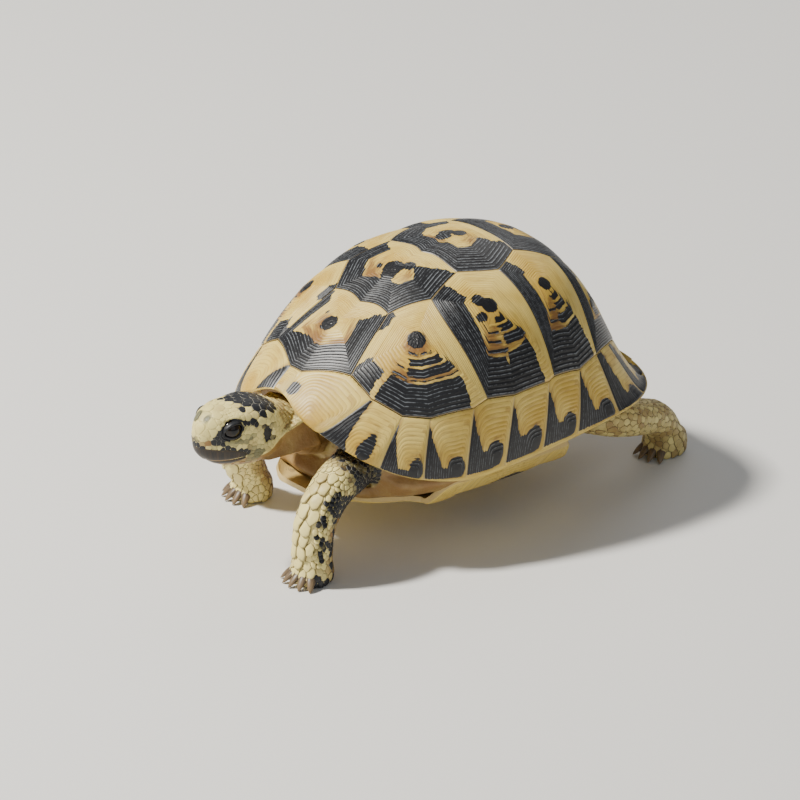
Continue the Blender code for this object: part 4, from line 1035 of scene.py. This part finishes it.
def markings(points, region, normals):
    """(black, tan, grey) of places in shell millimetres."""
    x, y, z = np.abs(points[:, 0]), points[:, 1], points[:, 2]
    cloud = sum(np.sin(points @ way + turn) for way, turn in zip(MARK_WAVES, MARK_TURNS)) / 3
    head = region == HEAD
    rear_cheek = head & (y > -103) & (z < 22)
    # Head: a black cap, temple spot, eye rim, beak band and ear on pale yellow.
    black = smooth((y - np.interp(x, *CAP_EDGE) + 0.4 * cloud) / 0.8)
    black *= smooth((z - np.interp(y, *CAP_FOOT)) / 0.8)
    for spot, sizes in BLACK_SPOTS:
        black = np.maximum(black, 1.4 * near(points, spot, sizes))
    black = np.maximum(black, near(points, EAR, EAR_SIZE))
    band = smooth((np.interp(y, *BAND_TOP) - z + 0.5 * cloud) / 1.3) * smooth((z - 8.6) / 0.8)
    black = np.maximum(black, band * smooth((-101.6 - y) / 2.0))
    black = np.where(head, black, 0.0)
    grey = np.maximum(0.95 * near(points, *GREY_BROW), 0.8 * near_line(points, CHEEK_GREY_AND_SHADE, 1.5))
    grey = np.where(head, grey, 0.0)
    # Behind the eye the cheek is olive grey and tan: partly its own colour, partly painted shade.
    grey = np.maximum(grey, np.where(rear_cheek, 0.42 + 0.35 * cloud, 0.0))
    tan = np.where(head, 0.05 + 0.75 * near(points, *TAN_SNOUT), 0.62)
    tan = np.where(rear_cheek, 0.25 + 0.2 * cloud, tan)
    tan = np.where(head & (z < 9.5), 0.75, tan)
    tan = np.where((region == NECK) & (y < -70), 0.45, tan)
    # Legs: cream plates in front, black and white behind them, olive skin at the back.
    leg = np.isin(region, FORELEGS + HIND_LEGS)
    fore = np.isin(region, FORELEGS)
    front, outer = facing_of(points, normals)
    tan = np.where(leg, np.where(fore, 0.15 + 0.8 * smooth(0.25 - front), 0.45), tan)
    strip = np.where(fore, smooth((outer - 0.55) / 0.2) * smooth((0.65 - front) / 0.3), 0.0)
    # Up in the pits by the shell the legs darken: partly the skin's own darker tone, partly
    # painted shade under the shell's rim.
    pit_tone_and_shade = smooth((z + 14) / 6) * np.where(fore, smooth((y + 78) / 8), smooth((62 - y) / 10)) * leg
    black = np.where(leg, np.maximum(strip * (0.60 + 0.6 * cloud), 0.62 * pit_tone_and_shade), black)
    grey = np.where(leg, np.maximum(0.35 * smooth(-front * 1.5), 0.7 * pit_tone_and_shade), grey)
    tan = np.where(leg, np.maximum(tan, 0.9 * pit_tone_and_shade), tan)
    return np.clip(np.stack([black, tan, grey]), 0, 1)


CREAM = (0.82, 0.70, 0.27, 1)
TAN_SKIN = (0.27, 0.145, 0.042, 1)
OLIVE_GREY = (0.15, 0.145, 0.07, 1)
BLACK_SCALE = (0.008, 0.009, 0.012, 1)
PALE_EDGE = (0.66, 0.62, 0.50, 1)
CREVICE_SHADE = (0.10, 0.06, 0.025, 1)


def skin_finish(name, bump_height, gap):
    """Skin or scale: cream to tan, with black and grey marks; rim is 1 at a scale's edge, which
    gap darkens with painted shade.
    """
    finish, shader, shade = new_finish(name)
    where = shade.node("TexCoord", {}, output=3)
    black, tan, grey = (shade.attribute(key) for key in ("black", "tan", "grey"))
    rim, chance = shade.attribute("rim"), shade.attribute("chance")
    cloud = shade.noise(where, 160.0)
    grain = shade.noise(where, 900.0)
    tone = (tan + (cloud - 0.5) * 0.7 + (chance - 0.5) * 0.5).step(0.0, 1.0)
    colour = tone.mix(CREAM, TAN_SKIN)
    colour = (grey + (cloud - 0.5) * 0.5).step(0.15, 0.85).mix(colour, OLIVE_GREY)
    # Each scale's edge darkens with painted shade, as in the crevices between scales.
    colour = (rim.step(0.80, 1.0) * gap).mix(colour, CREVICE_SHADE)
    ink = (black + (cloud - 0.5) * 0.4 + (chance - 0.5) * 0.3).step(0.40, 0.60)
    scale = (rim.step(0.94, 1.0) * 0.8).mix(BLACK_SCALE, PALE_EDGE)
    colour = ink.mix(colour, scale)
    rough = 0.5 + (grain - 0.5) * 0.3
    bump = shade.node("Bump", {"Height": grain + cloud * 1.5, "Distance": bump_height,
                               "Strength": 0.5})
    feed(shader, Base_Color=colour, Roughness=rough, Normal=bump)
    return finish


# The hood's upper fold is painted pale, a painted highlight along its edge, and skin under scales
# shows less black than bare skin.
black, tan, grey = markings(points, region, normals)
fold_highlight = np.exp(-((points[:, 2] - high + 0.45) / 0.80) ** 4) * (np.abs(points[:, 0]) > 6.5)
fold_highlight *= smooth((points[:, 1] - HOOD_Y[0]) / 3) * smooth((-64 - points[:, 1]) / 5)
# The trunk's skin, the hood's with it, is a darker tan: partly its own tone, partly painted shade
# under the shell.
tan = np.where(region == TRUNK, tan + 0.25, tan) * (1 - 0.98 * fold_highlight)
bare = near(points, BLACK_SPOTS[0][0], (6.0, 7.5, 4.6)) > 0.30
bare |= (near(points, EAR, EAR_SIZE) > 0.4) | (near(points, NOSTRIL, (1.6, 2.0, 1.4)) > 0.5)
bare |= (points[:, 2] > 22.5) & (points[:, 1] > -104.5)
hold(skin, black=np.where(region == HEAD, np.where(bare, black, 0.25 * black), 0.0), tan=tan,
     grey=grey, rim=np.where(region == TRUNK, 0.7, 0.55), chance=np.full(len(points), 0.5))
skin.data.materials.append(skin_finish("skin", 0.45 * MM, 0.75))
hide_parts(*FLESH)
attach(skin, "root")

# ---- scales ----
# Horny scales cover the head, legs, feet and tail: flat polygons on the crown, fine
# grains on the face and neck, and large lapping plates down the front of the forelegs.
# Seeds are thrown on the skin and evened out; each grows to half way to its neighbours.
SCALE_SIDES = 12
SIZE_FLOOR = 0.45              # no scale's room is counted as less than this
SEEDS_THROWN = 11 / 3.4        # for each square of a scale's half width
SEED_SPACING, SEED_EVENINGS = 1.55, 3
NEIGHBOURS, CORNER_SHARPNESS = 14, 14
LONGEST_REACH = 1.5            # of a scale's edge, for its half width


def scale_sizes(points, region, length, normals):
    """(half width in mm, 0 for none; height; lap) of the scales at places."""
    x, y, z = np.abs(points[:, 0]), points[:, 1], points[:, 2]
    sizes = np.zeros((3, len(points)))

    def put(where, half=None, height=None, lap=None):
        for row, value in zip(sizes, (half, height, lap)):
            if value is not None:
                row[:] = np.where(where, value, row)

    # The head: small at the sides, larger on crown and snout, none on eye, ear or beak.
    head = region == HEAD
    eye = np.linalg.norm(np.stack([x, y, z], -1) - EYE_PLACE / MM, axis=-1)
    ear = smooth(3.2 * near(points, EAR, EAR_SIZE) - 1.2) > 0.5
    put(head, half=1.15, height=0.11)
    put(head & (y > -104) & (z < 23), half=0.95)
    put(head & (y > -104) & (z > 23.5), half=1.55, height=0.17)
    put(head & (y < -106) & (z > 22), half=2.4)
    put(head & (y < -112) & (z > 12) & (z < 22), half=1.9)
    put(head & (y < -109) & (z < 18.8), half=1.05)
    put(head & (z < 9), half=1.0)
    put(head & (eye < 7.4) & (z > 17), half=0.75)
    put(head & (ear | (eye < 5.6)), half=0)
    put(near(points, NOSTRIL, (1.0, 2.0, 0.9)) > 0.4, half=0)
    put(head & (y < -102) & (z < np.interp(y, *BARE_TOP)) & (z > 6.8), half=0)
    # The neck and tail, and the legs: largest and most lapping down a foreleg's front.
    put((region == NECK) & (y < -64) & (z > 10), half=0.80, height=0.08)
    put(region == TAIL, half=1.15, height=0.3, lap=0.5)
    fore, leg = np.isin(region, FORELEGS), np.isin(region, FORELEGS + HIND_LEGS)
    front, outer = facing_of(points, normals)
    face = smooth((0.9 * front + 0.35 * outer - 0.25) / 0.35)
    grown = smooth((length - 22) / 12)
    put(fore, half=0.95 + (1.75 * face) * grown, height=0.28 + 0.52 * face * grown,
        lap=(0.25 + 0.75 * face) * grown)
    put(fore & (outer > 0.62) & (front < 0.62) & (front > -0.1), half=0.9)
    put(leg & ~fore, half=1.0 + 0.55 * smooth((outer + front) / 0.8), height=0.30, lap=0.35)
    put(leg & (z < -31), half=np.where(normals[:, 2] < -0.6, 1.25, 1.5), height=0.34)
    put(leg & (z < -39.4), half=0)
    # None grow where the shell hides them.
    put((region >= NECK) & (y > -56) & (y < 60) & (z > -14) & (x < 44), half=0)
    put((region == TAIL) & (y < 64), half=0)
    return sizes


def point_tree(points):
    """A tree that finds the nearest of many points."""
    tree = KDTree(len(points))
    for i, point in enumerate(points):
        tree.insert(point, i)
    tree.balance()
    return tree


def throw_seeds(random):
    """Places on the skin, spread so that each scale has the room that its size asks."""
    skin.data.calc_loop_triangles()
    corners = np.empty(len(skin.data.loop_triangles) * 3, np.int32)
    skin.data.loop_triangles.foreach_get("vertices", corners)
    corners = corners.reshape(-1, 3)
    place, normal = (read_points(skin) - SHELL) / MM, read_points(skin, "normal")
    middle = place[corners].mean(1)
    facing = normal[corners].mean(1)
    facing /= np.linalg.norm(facing, axis=-1, keepdims=True)
    region, length, _ = region_of(middle)
    half, _, _ = scale_sizes(middle, region, length, facing)
    start = place[corners[:, 0]]
    sides = place[corners[:, 1]] - start, place[corners[:, 2]] - start
    area = 0.5 * np.linalg.norm(np.cross(*sides), axis=-1)
    weight = np.where(half > 0, area / np.maximum(half, SIZE_FLOOR) ** 2, 0.0)
    wanted = int(weight.sum() * SEEDS_THROWN)
    pick = np.searchsorted(np.cumsum(weight) / weight.sum(), np.sort(random.random(wanted)))
    spread = random.random((wanted, 2))
    folded = spread.sum(1) > 1
    spread[folded] = 1 - spread[folded]
    spots = start[pick] + (sides[0][pick] * spread[:, :1] + sides[1][pick] * spread[:, 1:])
    order = random.permutation(wanted)
    spots, room = spots[order], half[pick][order]
    tree = point_tree(spots)
    free, seeds = np.ones(wanted, bool), []
    for i in range(wanted):
        if free[i]:
            seeds.append(i)
            free[[j for _, j, _ in tree.find_range(spots[i], room[i] * SEED_SPACING)]] = False
    chosen = spots[seeds]
    for _ in range(SEED_EVENINGS):
        tree = point_tree(chosen)
        owner = np.array([tree.find(spot)[1] for spot in spots])
        owned = np.bincount(owner, minlength=len(chosen))[:, None]
        total = np.stack([np.bincount(owner, spots[:, i], len(chosen)) for i in range(3)], -1)
        chosen = np.where(owned > 0, total / np.maximum(owned, 1), chosen)
    return chosen


def grow_scales(random):
    """Arrays that describe every scale: seed, directions, edge and style."""
    seeds = throw_seeds(random)
    surface = BVHTree.FromPolygons(((read_points(skin) - SHELL) / MM).tolist(),
                                   [tuple(p.vertices) for p in skin.data.polygons])
    hits = [surface.find_nearest(seed) for seed in seeds]
    seeds = np.array([hit[0] for hit in hits])
    normal = np.array([hit[1] for hit in hits])
    tree = point_tree(seeds)
    near_ones = np.array([[j for _, j, _ in tree.find_n(seed, NEIGHBOURS + 1)][1:]
                          for seed in seeds])
    even = normal + normal[near_ones[:, :5]].mean(1)
    normal = even / np.linalg.norm(even, axis=-1, keepdims=True)
    region, length, way = region_of(seeds)
    half, height, lap = scale_sizes(seeds, region, length, normal)
    down = way - (way * normal).sum(-1, keepdims=True) * normal
    down /= np.linalg.norm(down, axis=-1, keepdims=True)
    across = np.cross(normal, down)
    gap = seeds[near_ones] - seeds[:, None]
    flat = np.stack([(gap * down[:, None]).sum(-1), (gap * across[:, None]).sum(-1)], -1)
    reach = np.linalg.norm(flat, axis=-1)
    share = half[:, None] / np.maximum(half[:, None] + half[near_ones], 1e-6)
    alike = (normal[near_ones] * normal[:, None]).sum(-1) > 0.1
    share = np.where(half[near_ones] > 0, np.clip(share, 0.38, 0.62), 0.5)
    border = np.where(alike & (reach > 1e-6), reach * share, 1e3)
    turn = np.arange(SCALE_SIDES) * 2 * math.pi / SCALE_SIDES
    rays = np.stack([np.cos(turn), np.sin(turn)], -1)
    facing = np.einsum("ijk,lk->ilj", flat / np.maximum(reach, 1e-6)[..., None], rays)
    closeness = np.maximum(facing, 0) / border[:, None, :]
    edge = np.maximum((closeness ** CORNER_SHARPNESS).sum(-1), 1e-30) ** (-1 / CORNER_SHARPNESS)
    edge = np.minimum(edge, LONGEST_REACH * half[:, None])
    keep = half > 0
    return {key: value[keep] for key, value in dict(
        seed=seeds, normal=normal, down=down, across=across, edge=edge, half=half,
        height=height, lap=lap, region=region).items()}, surface


# (share of the way out, share of the height) of a scale's rings, root to crown.
SCALE_RINGS = ((0.90, None), (1.0, 0.10), (0.93, 0.72), (0.72, 0.96), (0.36, 1.0))
ROOT_DEPTH = 0.35
# How far a scale's edge goes past its border, on the head and elsewhere.
HEAD_EDGE, BODY_EDGE = 0.015, -0.02
LAP_LENGTH, LAP_TILT = 0.46, 0.95
BAKE_PATCH = 0.003             # a scale's patch, as a share of the skin's map


def first_corners(piece):
    """Where each face's first corner lies on the piece's map."""
    starts = np.empty(len(piece.data.polygons), np.int32)
    piece.data.polygons.foreach_get("loop_start", starts)
    uvs = np.empty(len(piece.data.loops) * 2, np.float32)
    piece.data.uv_layers[0].data.foreach_get("uv", uvs)
    return uvs.reshape(-1, 2)[starts]


def lay_map(mesh, part, points, surface):
    """Lays each scale in a small patch at its root's place on the skin's own map."""
    home = face_uvs[[surface.find_nearest(seed)[2] for seed in part["seed"]]]
    spot = ((points - part["seed"][:, None]) @ np.stack([part["down"], part["across"]], -1))
    spot = spot / np.abs(spot).max((1, 2), keepdims=True) * 0.5 * BAKE_PATCH
    uv = (home[:, None] + spot).reshape(-1, 2)
    corner_points = np.empty(len(mesh.loops), np.int32)
    mesh.loops.foreach_get("vertex_index", corner_points)
    layer = mesh.uv_layers.new(name="OFBake")
    layer.data.foreach_set("uv", uv[corner_points].reshape(-1).astype(np.float32))


def scale_piece(name, scales, keep, surface, random, finish):
    """One mesh of closed, domed scales with their edges on the skin."""
    part = {key: value[keep] for key, value in scales.items()}
    count = len(part["half"])
    turn = np.arange(SCALE_SIDES) * 2 * math.pi / SCALE_SIDES
    beyond = np.where(part["region"] == HEAD, HEAD_EDGE, BODY_EDGE)[:, None]
    edge = (part["edge"] + beyond)[:, :, None]
    wild = 1 + 0.05 * random.standard_normal((count, SCALE_SIDES, 1))
    rays = (part["down"][:, None] * np.cos(turn)[:, None]
            + part["across"][:, None] * np.sin(turn)[:, None])
    lap = part["lap"][:, None, None]
    longer = 1 + LAP_LENGTH * lap * np.maximum(np.cos(turn), 0)[:, None] ** 3
    outer = part["seed"][:, None] + rays * edge * wild * longer
    laid = np.array([surface.find_nearest(point)[0] for point in outer.reshape(-1, 3)])
    laid = laid.reshape(outer.shape)
    drop = ((laid - outer) * part["normal"][:, None]).sum(-1, keepdims=True)
    tilt = lap * (LAP_TILT * np.cos(turn)[:, None])
    height = part["height"][:, None, None] * (0.85 + 0.3 * random.random((count, 1, 1)))
    rings, rims = [], []
    for share, rise in SCALE_RINGS:
        spot = part["seed"][:, None] + (outer - part["seed"][:, None]) * share
        spot = spot + part["normal"][:, None] * drop * share ** 2
        if rise is None:
            up = np.full_like(drop, -ROOT_DEPTH)
        else:
            up = height * rise * (1 + tilt * share)
        rings.append(spot + part["normal"][:, None] * up)
        rims.append(np.full((count, SCALE_SIDES), 1.0 if rise is None else share))
    crown = part["seed"] + part["normal"] * height[:, 0] * 1.02
    root = part["seed"] - part["normal"] * ROOT_DEPTH * 1.4
    points = np.concatenate([np.concatenate(rings, 1), crown[:, None], root[:, None]], 1)
    per = points.shape[1]
    rim = np.concatenate([*rims, np.zeros((count, 1)), np.ones((count, 1))], 1)
    around = np.arange(SCALE_SIDES)
    following = np.roll(around, -1)
    faces = []
    for i in range(len(SCALE_RINGS) - 1):
        low, high = i * SCALE_SIDES, (i + 1) * SCALE_SIDES
        faces.append(np.stack([around + low, following + low, following + high,
                               around + high], -1))
    quads = np.concatenate(faces)
    top = (len(SCALE_RINGS) - 1) * SCALE_SIDES
    caps = np.concatenate([
        np.stack([around + top, following + top, np.full(SCALE_SIDES, per - 2)], -1),
        np.stack([following, around, np.full(SCALE_SIDES, per - 1)], -1)])
    starts = (np.arange(count) * per)[:, None, None]
    quads = (quads + starts).reshape(-1, 4)
    caps = (caps + starts).reshape(-1, 3)
    world = points.reshape(-1, 3) * MM + SHELL
    world[:, 2] = np.maximum(world[:, 2], 0.0)
    mesh = bpy.data.meshes.new(name)
    mesh.from_pydata(world, [], quads.tolist() + caps.tolist())
    piece = bpy.data.objects.new(name, mesh)
    bpy.context.scene.collection.objects.link(piece)
    black, tan, grey = markings(part["seed"], part["region"], part["normal"])
    chance = random.random(count)
    hold(piece, rim=rim.reshape(-1), chance=np.repeat(chance, per),
         black=np.repeat(black, per), tan=np.repeat(tan, per), grey=np.repeat(grey, per))
    mesh.shade_smooth()
    mesh.materials.append(finish)
    lay_map(mesh, part, points, surface)
    "head_skin" if name == "scales_head" else "skin"
    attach(piece, "root")


face_uvs = first_corners(skin)
random = np.random.default_rng(5)
scales, skin_surface = grow_scales(random)
head_scales = skin_finish("scales_head", 0.05 * MM, 0.22)
body_scales = skin_finish("scales", 0.06 * MM, 0.80)
for name, wanted in (("head", HEAD), *((name, number) for number, name in enumerate(LIMBS))):
    scale_piece("scales_" + name, scales, scales["region"] == wanted, skin_surface, random,
                head_scales if wanted == HEAD else body_scales)

# ---- eyes ----
# Dark glossy balls, a black pupil in a brown iris, seated deep behind thick lids. Each is
# a sphere turned so that its pole looks out and a little forward.
EYE_RADIUS = 4.05 * MM
IRIS_TURN, PUPIL_TURN = 38.0, 21.0
LOOK = (1.0, -0.30, 0.06)      # where the left eye looks
BLACK_PUPIL = (0.002, 0.002, 0.002, 1)
BROWN_IRIS = (0.014, 0.007, 0.003, 1)
DARK_WHITE = (0.006, 0.004, 0.003, 1)

eye_finish, eye_shader, eye_shade = new_finish("eye")
ring = eye_shade.attribute("ring")
iris = ring.step(PUPIL_TURN - 2, PUPIL_TURN + 2).mix(BLACK_PUPIL, BROWN_IRIS)
ball = ring.step(IRIS_TURN - 2, IRIS_TURN + 2).mix(iris, DARK_WHITE)
feed(eye_shader, Base_Color=ball, Roughness=0.10)
eye_shader.inputs["Specular IOR Level"].default_value = 0.30
eye_shader.inputs["Coat Weight"].default_value = 0.15
eye_shader.inputs["Coat Roughness"].default_value = 0.03
for side, word in ((1, "left"), (-1, "right")):
    centre = EYE_PLACE * (side, 1, 1)
    bpy.ops.object.select_all(action='DESELECT')
    bpy.ops.mesh.primitive_uv_sphere_add(segments=48, ring_count=32, radius=EYE_RADIUS)
    eye = bpy.context.object
    eye.name = eye.data.name = "eyeball_" + word
    look = Vector((side * LOOK[0], LOOK[1], LOOK[2]))
    eye.rotation_euler = look.to_track_quat('Z', 'Y').to_euler()
    eye.location = SHELL + centre
    bpy.ops.object.transform_apply(location=True, rotation=True)
    away = read_points(eye) - SHELL - centre
    cosine = (away @ np.array(look.normalized())) / np.linalg.norm(away, axis=-1)
    hold(eye, ring=np.degrees(np.arccos(np.clip(cosine, -1, 1))))
    bpy.ops.object.shade_smooth()
    eye.data.materials.append(eye_finish)
    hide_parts("eye_" + word)
    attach(eye, "root")

# ---- eyelids ----
# Each eye's two lids are one soft ring round a slanted almond opening. It starts inside
# the ball, rolls out over it, dips in a crease and spreads out until it sinks in the skin.
OPENING, LID_SLANT = (3.7, 2.35), math.radians(20)
LID_COLUMNS = 65
LID_START = 12.0               # the skin is felt for from this far out
CREASE_AT = 1.15               # how far out the lower lid's pale line lies
# How far out from the opening's edge each ring lies, the radius of the ball it lies on,
# and how far it lies from the skin, where it has left the ball.
LID_RINGS = ((-0.35, 3.80, None), (0.0, 4.16, None), (0.10, 4.42, None), (0.40, 4.72, None),
             (0.85, 4.86, None), (1.15, 4.66, None), (1.35, 4.56, 0.22), (1.75, 4.56, 0.36),
             (2.15, 4.40, 0.10), (2.50, 4.20, -0.40), (2.0, 3.50, -1.10))


def lid_points(side):
    """Rings of points round one eye, in shell millimetres."""
    look = np.array(LOOK) * (side, 1, 1)
    look /= np.linalg.norm(look)
    rear = np.cross(look, (0, 0, 1)) * -side
    rear /= np.linalg.norm(rear)
    above = np.cross(rear, look) * -side
    above *= np.sign(above[2])
    rear, above = (rear * math.cos(LID_SLANT) + above * math.sin(LID_SLANT),
                   above * math.cos(LID_SLANT) - rear * math.sin(LID_SLANT))
    turn = np.linspace(0, 2 * math.pi, LID_COLUMNS)
    centre = EYE_PLACE * (side, 1, 1) / MM
    rings = []
    for beyond, ball, off_skin in LID_RINGS:
        across = (OPENING[0] + beyond) * np.cos(turn)
        tall = (OPENING[1] + beyond) * np.sin(turn) * (1 - 0.20 * np.cos(turn) ** 2)
        flat = centre + across[:, None] * rear + tall[:, None] * above
        depth = np.sqrt(np.maximum(ball ** 2 - across ** 2 - tall ** 2, 0.5))
        if off_skin is not None:
            hits = [skin_surface.ray_cast(Vector(spot + look * LID_START), Vector(-look))[3]
                    for spot in flat]
            on_skin = np.array([0.0 if hit is None else LID_START - hit for hit in hits])
            share = smooth((beyond - 0.9) / 0.9)
            depth = np.maximum(depth * (1 - share) + on_skin * share, on_skin) + off_skin
            depth = np.convolve(np.concatenate([depth[-6:-1], depth, depth[1:6]]),
                                np.ones(5) / 5, 'same')[5:-5]
        rings.append(flat + depth[:, None] * look)
    rings.append(rings[0])
    return np.array(rings), turn


lid_finish = skin_finish("eyelids", 0.10 * MM, 0.4)
for side, word in ((1, "left"), (-1, "right")):
    rings, turn = lid_points(side)
    out = np.array([beyond for beyond, _, _ in LID_RINGS] + [LID_RINGS[0][0]])[:, None]
    low = smooth(-2.2 * np.sin(turn)) * smooth(1.2 + 2.0 * np.cos(turn))
    pale_line = smooth(1 - np.abs(out - CREASE_AT) / 0.40) * low
    black_lid = smooth((2.9 - 1.5 * low - out) / 0.4) * (1 - pale_line)
    fields = {"black": black_lid, "tan": 0.1, "grey": 0.45 * (1 - pale_line), "rim": 0.5,
              "chance": 0.5}
    lids = wrap_grid("eyelids_" + word, rings * MM + SHELL, fields, lid_finish)
    apply_modifier(lids, 'SUBSURF', levels=1)
    bpy.ops.object.shade_smooth()
    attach(lids, "root")

# ---- beak ----
# A horny sheath edges each jaw, hooked a little at the front and streaked up and down
# where it wears. It is a strip laid round the snout on the skin, sunk in along its top.
BEAK_AXIS = -104.0
BEAK_START = 30.0              # the skin is felt for from this far out
BEAK_END = 98
BEAK_TURN = np.radians(np.linspace(-BEAK_END, BEAK_END, 121))
# Along each strip's turn from the front: its top and bottom; then its rows' offsets.
BEAK_TURNS = (0, 10, 30, 60, 85, BEAK_END)
BEAK_TOPS = {"upper": (16.2, 16.2, 15.6, 14.4, 12.8, 10.9),
             "lower": (9.4, 9.5, 9.6, 9.8, 10.2, 10.5)}
BEAK_FEET = {"upper": (8.1, 8.9, 9.2, 9.5, 9.9, 10.2),
             "lower": (6.3, 6.2, 6.2, 6.8, 8.0, 9.2)}
BEAK_ROWS = {"upper": (-0.30, 0.06, 0.20, 0.26, 0.30, 0.33, 0.36, 0.38, 0.38, 0.30, -0.35, -0.9),
             "lower": (-0.80, -0.25, 0.02, 0.14, 0.18, 0.20, 0.20, 0.16, 0.02, -0.35, -0.9, -1.0)}


def beak_finish():
    """Dark horn with streaks that fade upward into the skin's cream."""
    finish, shader, shade = new_finish("beak")
    down = shade.attribute("down")
    where = shade.node("CombineXYZ", {"X": shade.attribute("round"), "Y": down * 0.5, "Z": 0.0})
    streaks = shade.noise(where, 1.0, detail=4.0)
    dark = streaks.step(0.35, 0.80).mix((0.009, 0.007, 0.006, 1), (0.060, 0.034, 0.016, 1))
    faded = (down + (streaks - 0.5) * 0.5).step(-0.10, 0.22).mix((0.20, 0.13, 0.045, 1), dark)
    feed(shader, Base_Color=faded, Roughness=0.34 + streaks * 0.2,
         Normal=shade.node("Bump", {"Height": streaks, "Distance": 0.08 * MM, "Strength": 0.5}))
    return finish


sheath = beak_finish()
from_end = np.radians(BEAK_END) - np.abs(BEAK_TURN)
for jaw in ("upper", "lower"):
    top, foot = (np.interp(np.degrees(np.abs(BEAK_TURN)), BEAK_TURNS, levels[jaw])
                 for levels in (BEAK_TOPS, BEAK_FEET))
    outward = np.stack([np.sin(BEAK_TURN), -np.cos(BEAK_TURN), 0 * BEAK_TURN], -1)
    offsets = BEAK_ROWS[jaw]
    down_share = np.concatenate([np.linspace(0, 1, len(offsets) - 2), [0.96, 0.06]])
    rows = []
    for share, offset in zip(down_share, offsets):
        level = top + (foot - top) * share
        axis = np.stack([0 * level, 0 * level + BEAK_AXIS, level], -1)
        start = axis + outward * BEAK_START
        reach = np.array([BEAK_START - skin_surface.ray_cast(Vector(spot), Vector(-way))[3]
                          for spot, way in zip(start, outward)])
        ends = np.concatenate([reach[:4][::-1], reach, reach[-4:][::-1]])
        reach = np.convolve(ends, np.ones(9) / 9, 'same')[4:-4]
        reach += offset - 0.6 * smooth(1 - from_end / 0.12)
        rows.append(axis + outward * reach[:, None])
    rows.append(rows[0])
    down = np.array([*down_share, 0.0])[:, None] * (0.75 if jaw == "upper" else 0.5)
    fields = {"down": down + (0.0 if jaw == "upper" else 0.12), "round": BEAK_TURN * 14}
    strip = wrap_grid("beak_" + jaw, np.array(rows) * MM + SHELL, fields, sheath)
    apply_modifier(strip, 'SUBSURF', levels=1)
    bpy.ops.object.shade_smooth()
    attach(strip, "root")

# ---- claws ----
# Curved horn claws, five on each forefoot and four on each hind foot, reach down to the
# floor. Each is a row of shrinking rings along an arch, rooted inside the foot.
FLOOR = -41.0
CLAW_FAN, CLAW_LENGTH, CLAW_RADIUS, CLAW_ARCH = math.radians(22), 4.6, 2.3, 1.1
CLAW_RINGS, CLAW_SIDES = 15, 16
ROOT_SHARE, ROOT_HEIGHT, TIP_HEIGHT, LOWEST = 0.72, 4.2, 0.45, 0.05
# Each foot's centre, half width and half length, number of claws and turn outward.
CLAW_FEET = {"front_left": ((32, -87), (8.6, 7.6), 5, 0),
             "front_right": ((-43, -57), (8.6, 7.6), 5, 12),
             "hind_left": ((31, 101.5), (8.4, 9.2), 4, 8),
             "hind_right": ((-46, 55), (9, 9), 4, 14)}


def claw_finish():
    """Grey-brown horn, paler to the tip, with fine streaks along it."""
    finish, shader, shade = new_finish("claws")
    share = shade.attribute("share")
    where = shade.node("CombineXYZ", {"X": shade.attribute("round"), "Y": share * 2.0, "Z": 0.0})
    streaks = shade.noise(where, 1.2, detail=4.0)
    horn = (share + (streaks - 0.5) * 0.7).step(0.15, 0.95).mix((0.060, 0.042, 0.028, 1),
                                                               (0.20, 0.135, 0.070, 1))
    feed(shader, Base_Color=horn, Roughness=0.32 + streaks * 0.2,
         Normal=shade.node("Bump", {"Height": streaks, "Distance": 0.10 * MM, "Strength": 0.5}))
    return finish


claw_horn = claw_finish()
for foot, (middle, half, count, toe_out) in CLAW_FEET.items():
    made = []
    for i in range(count):
        fan = math.radians(toe_out) * np.sign(middle[0]) + CLAW_FAN * (i - (count - 1) / 2)
        out = np.array([math.sin(fan), -math.cos(fan), 0.0])
        edge = out * (*half, 0.0)
        centre = np.array([*middle, 0.0])
        root = centre + edge * ROOT_SHARE + (0, 0, FLOOR + ROOT_HEIGHT)
        tip = centre + edge + out * CLAW_LENGTH + (0, 0, FLOOR + TIP_HEIGHT)
        share = np.linspace(0, 1, CLAW_RINGS)[:, None, None]
        line = root + (tip - root) * share
        line[..., 2] += CLAW_ARCH * np.sin(math.pi * share[..., 0])
        turn = np.linspace(0, 2 * math.pi, CLAW_SIDES + 1)[:, None]
        across = np.array([math.cos(fan), math.sin(fan), 0.0])
        radius = CLAW_RADIUS * (1 - share ** 1.7 * 0.72)
        radius *= np.sqrt(np.clip((1.01 - share) * 7, 0, 1))
        ring = np.cos(turn) * across + 0.85 * np.sin(turn) * np.array([0, 0, 1.0])
        points = line + radius * ring
        points[..., 2] = np.maximum(points[..., 2], FLOOR + LOWEST)
        fields = {"share": share[..., 0], "round": np.cos(turn[:, 0]) * 3}
        made.append(wrap_grid(f"claw_{foot}_{i}", points * MM + SHELL, fields, claw_horn))
    claws = joined("claws_" + foot, made)
    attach(claws, "root")
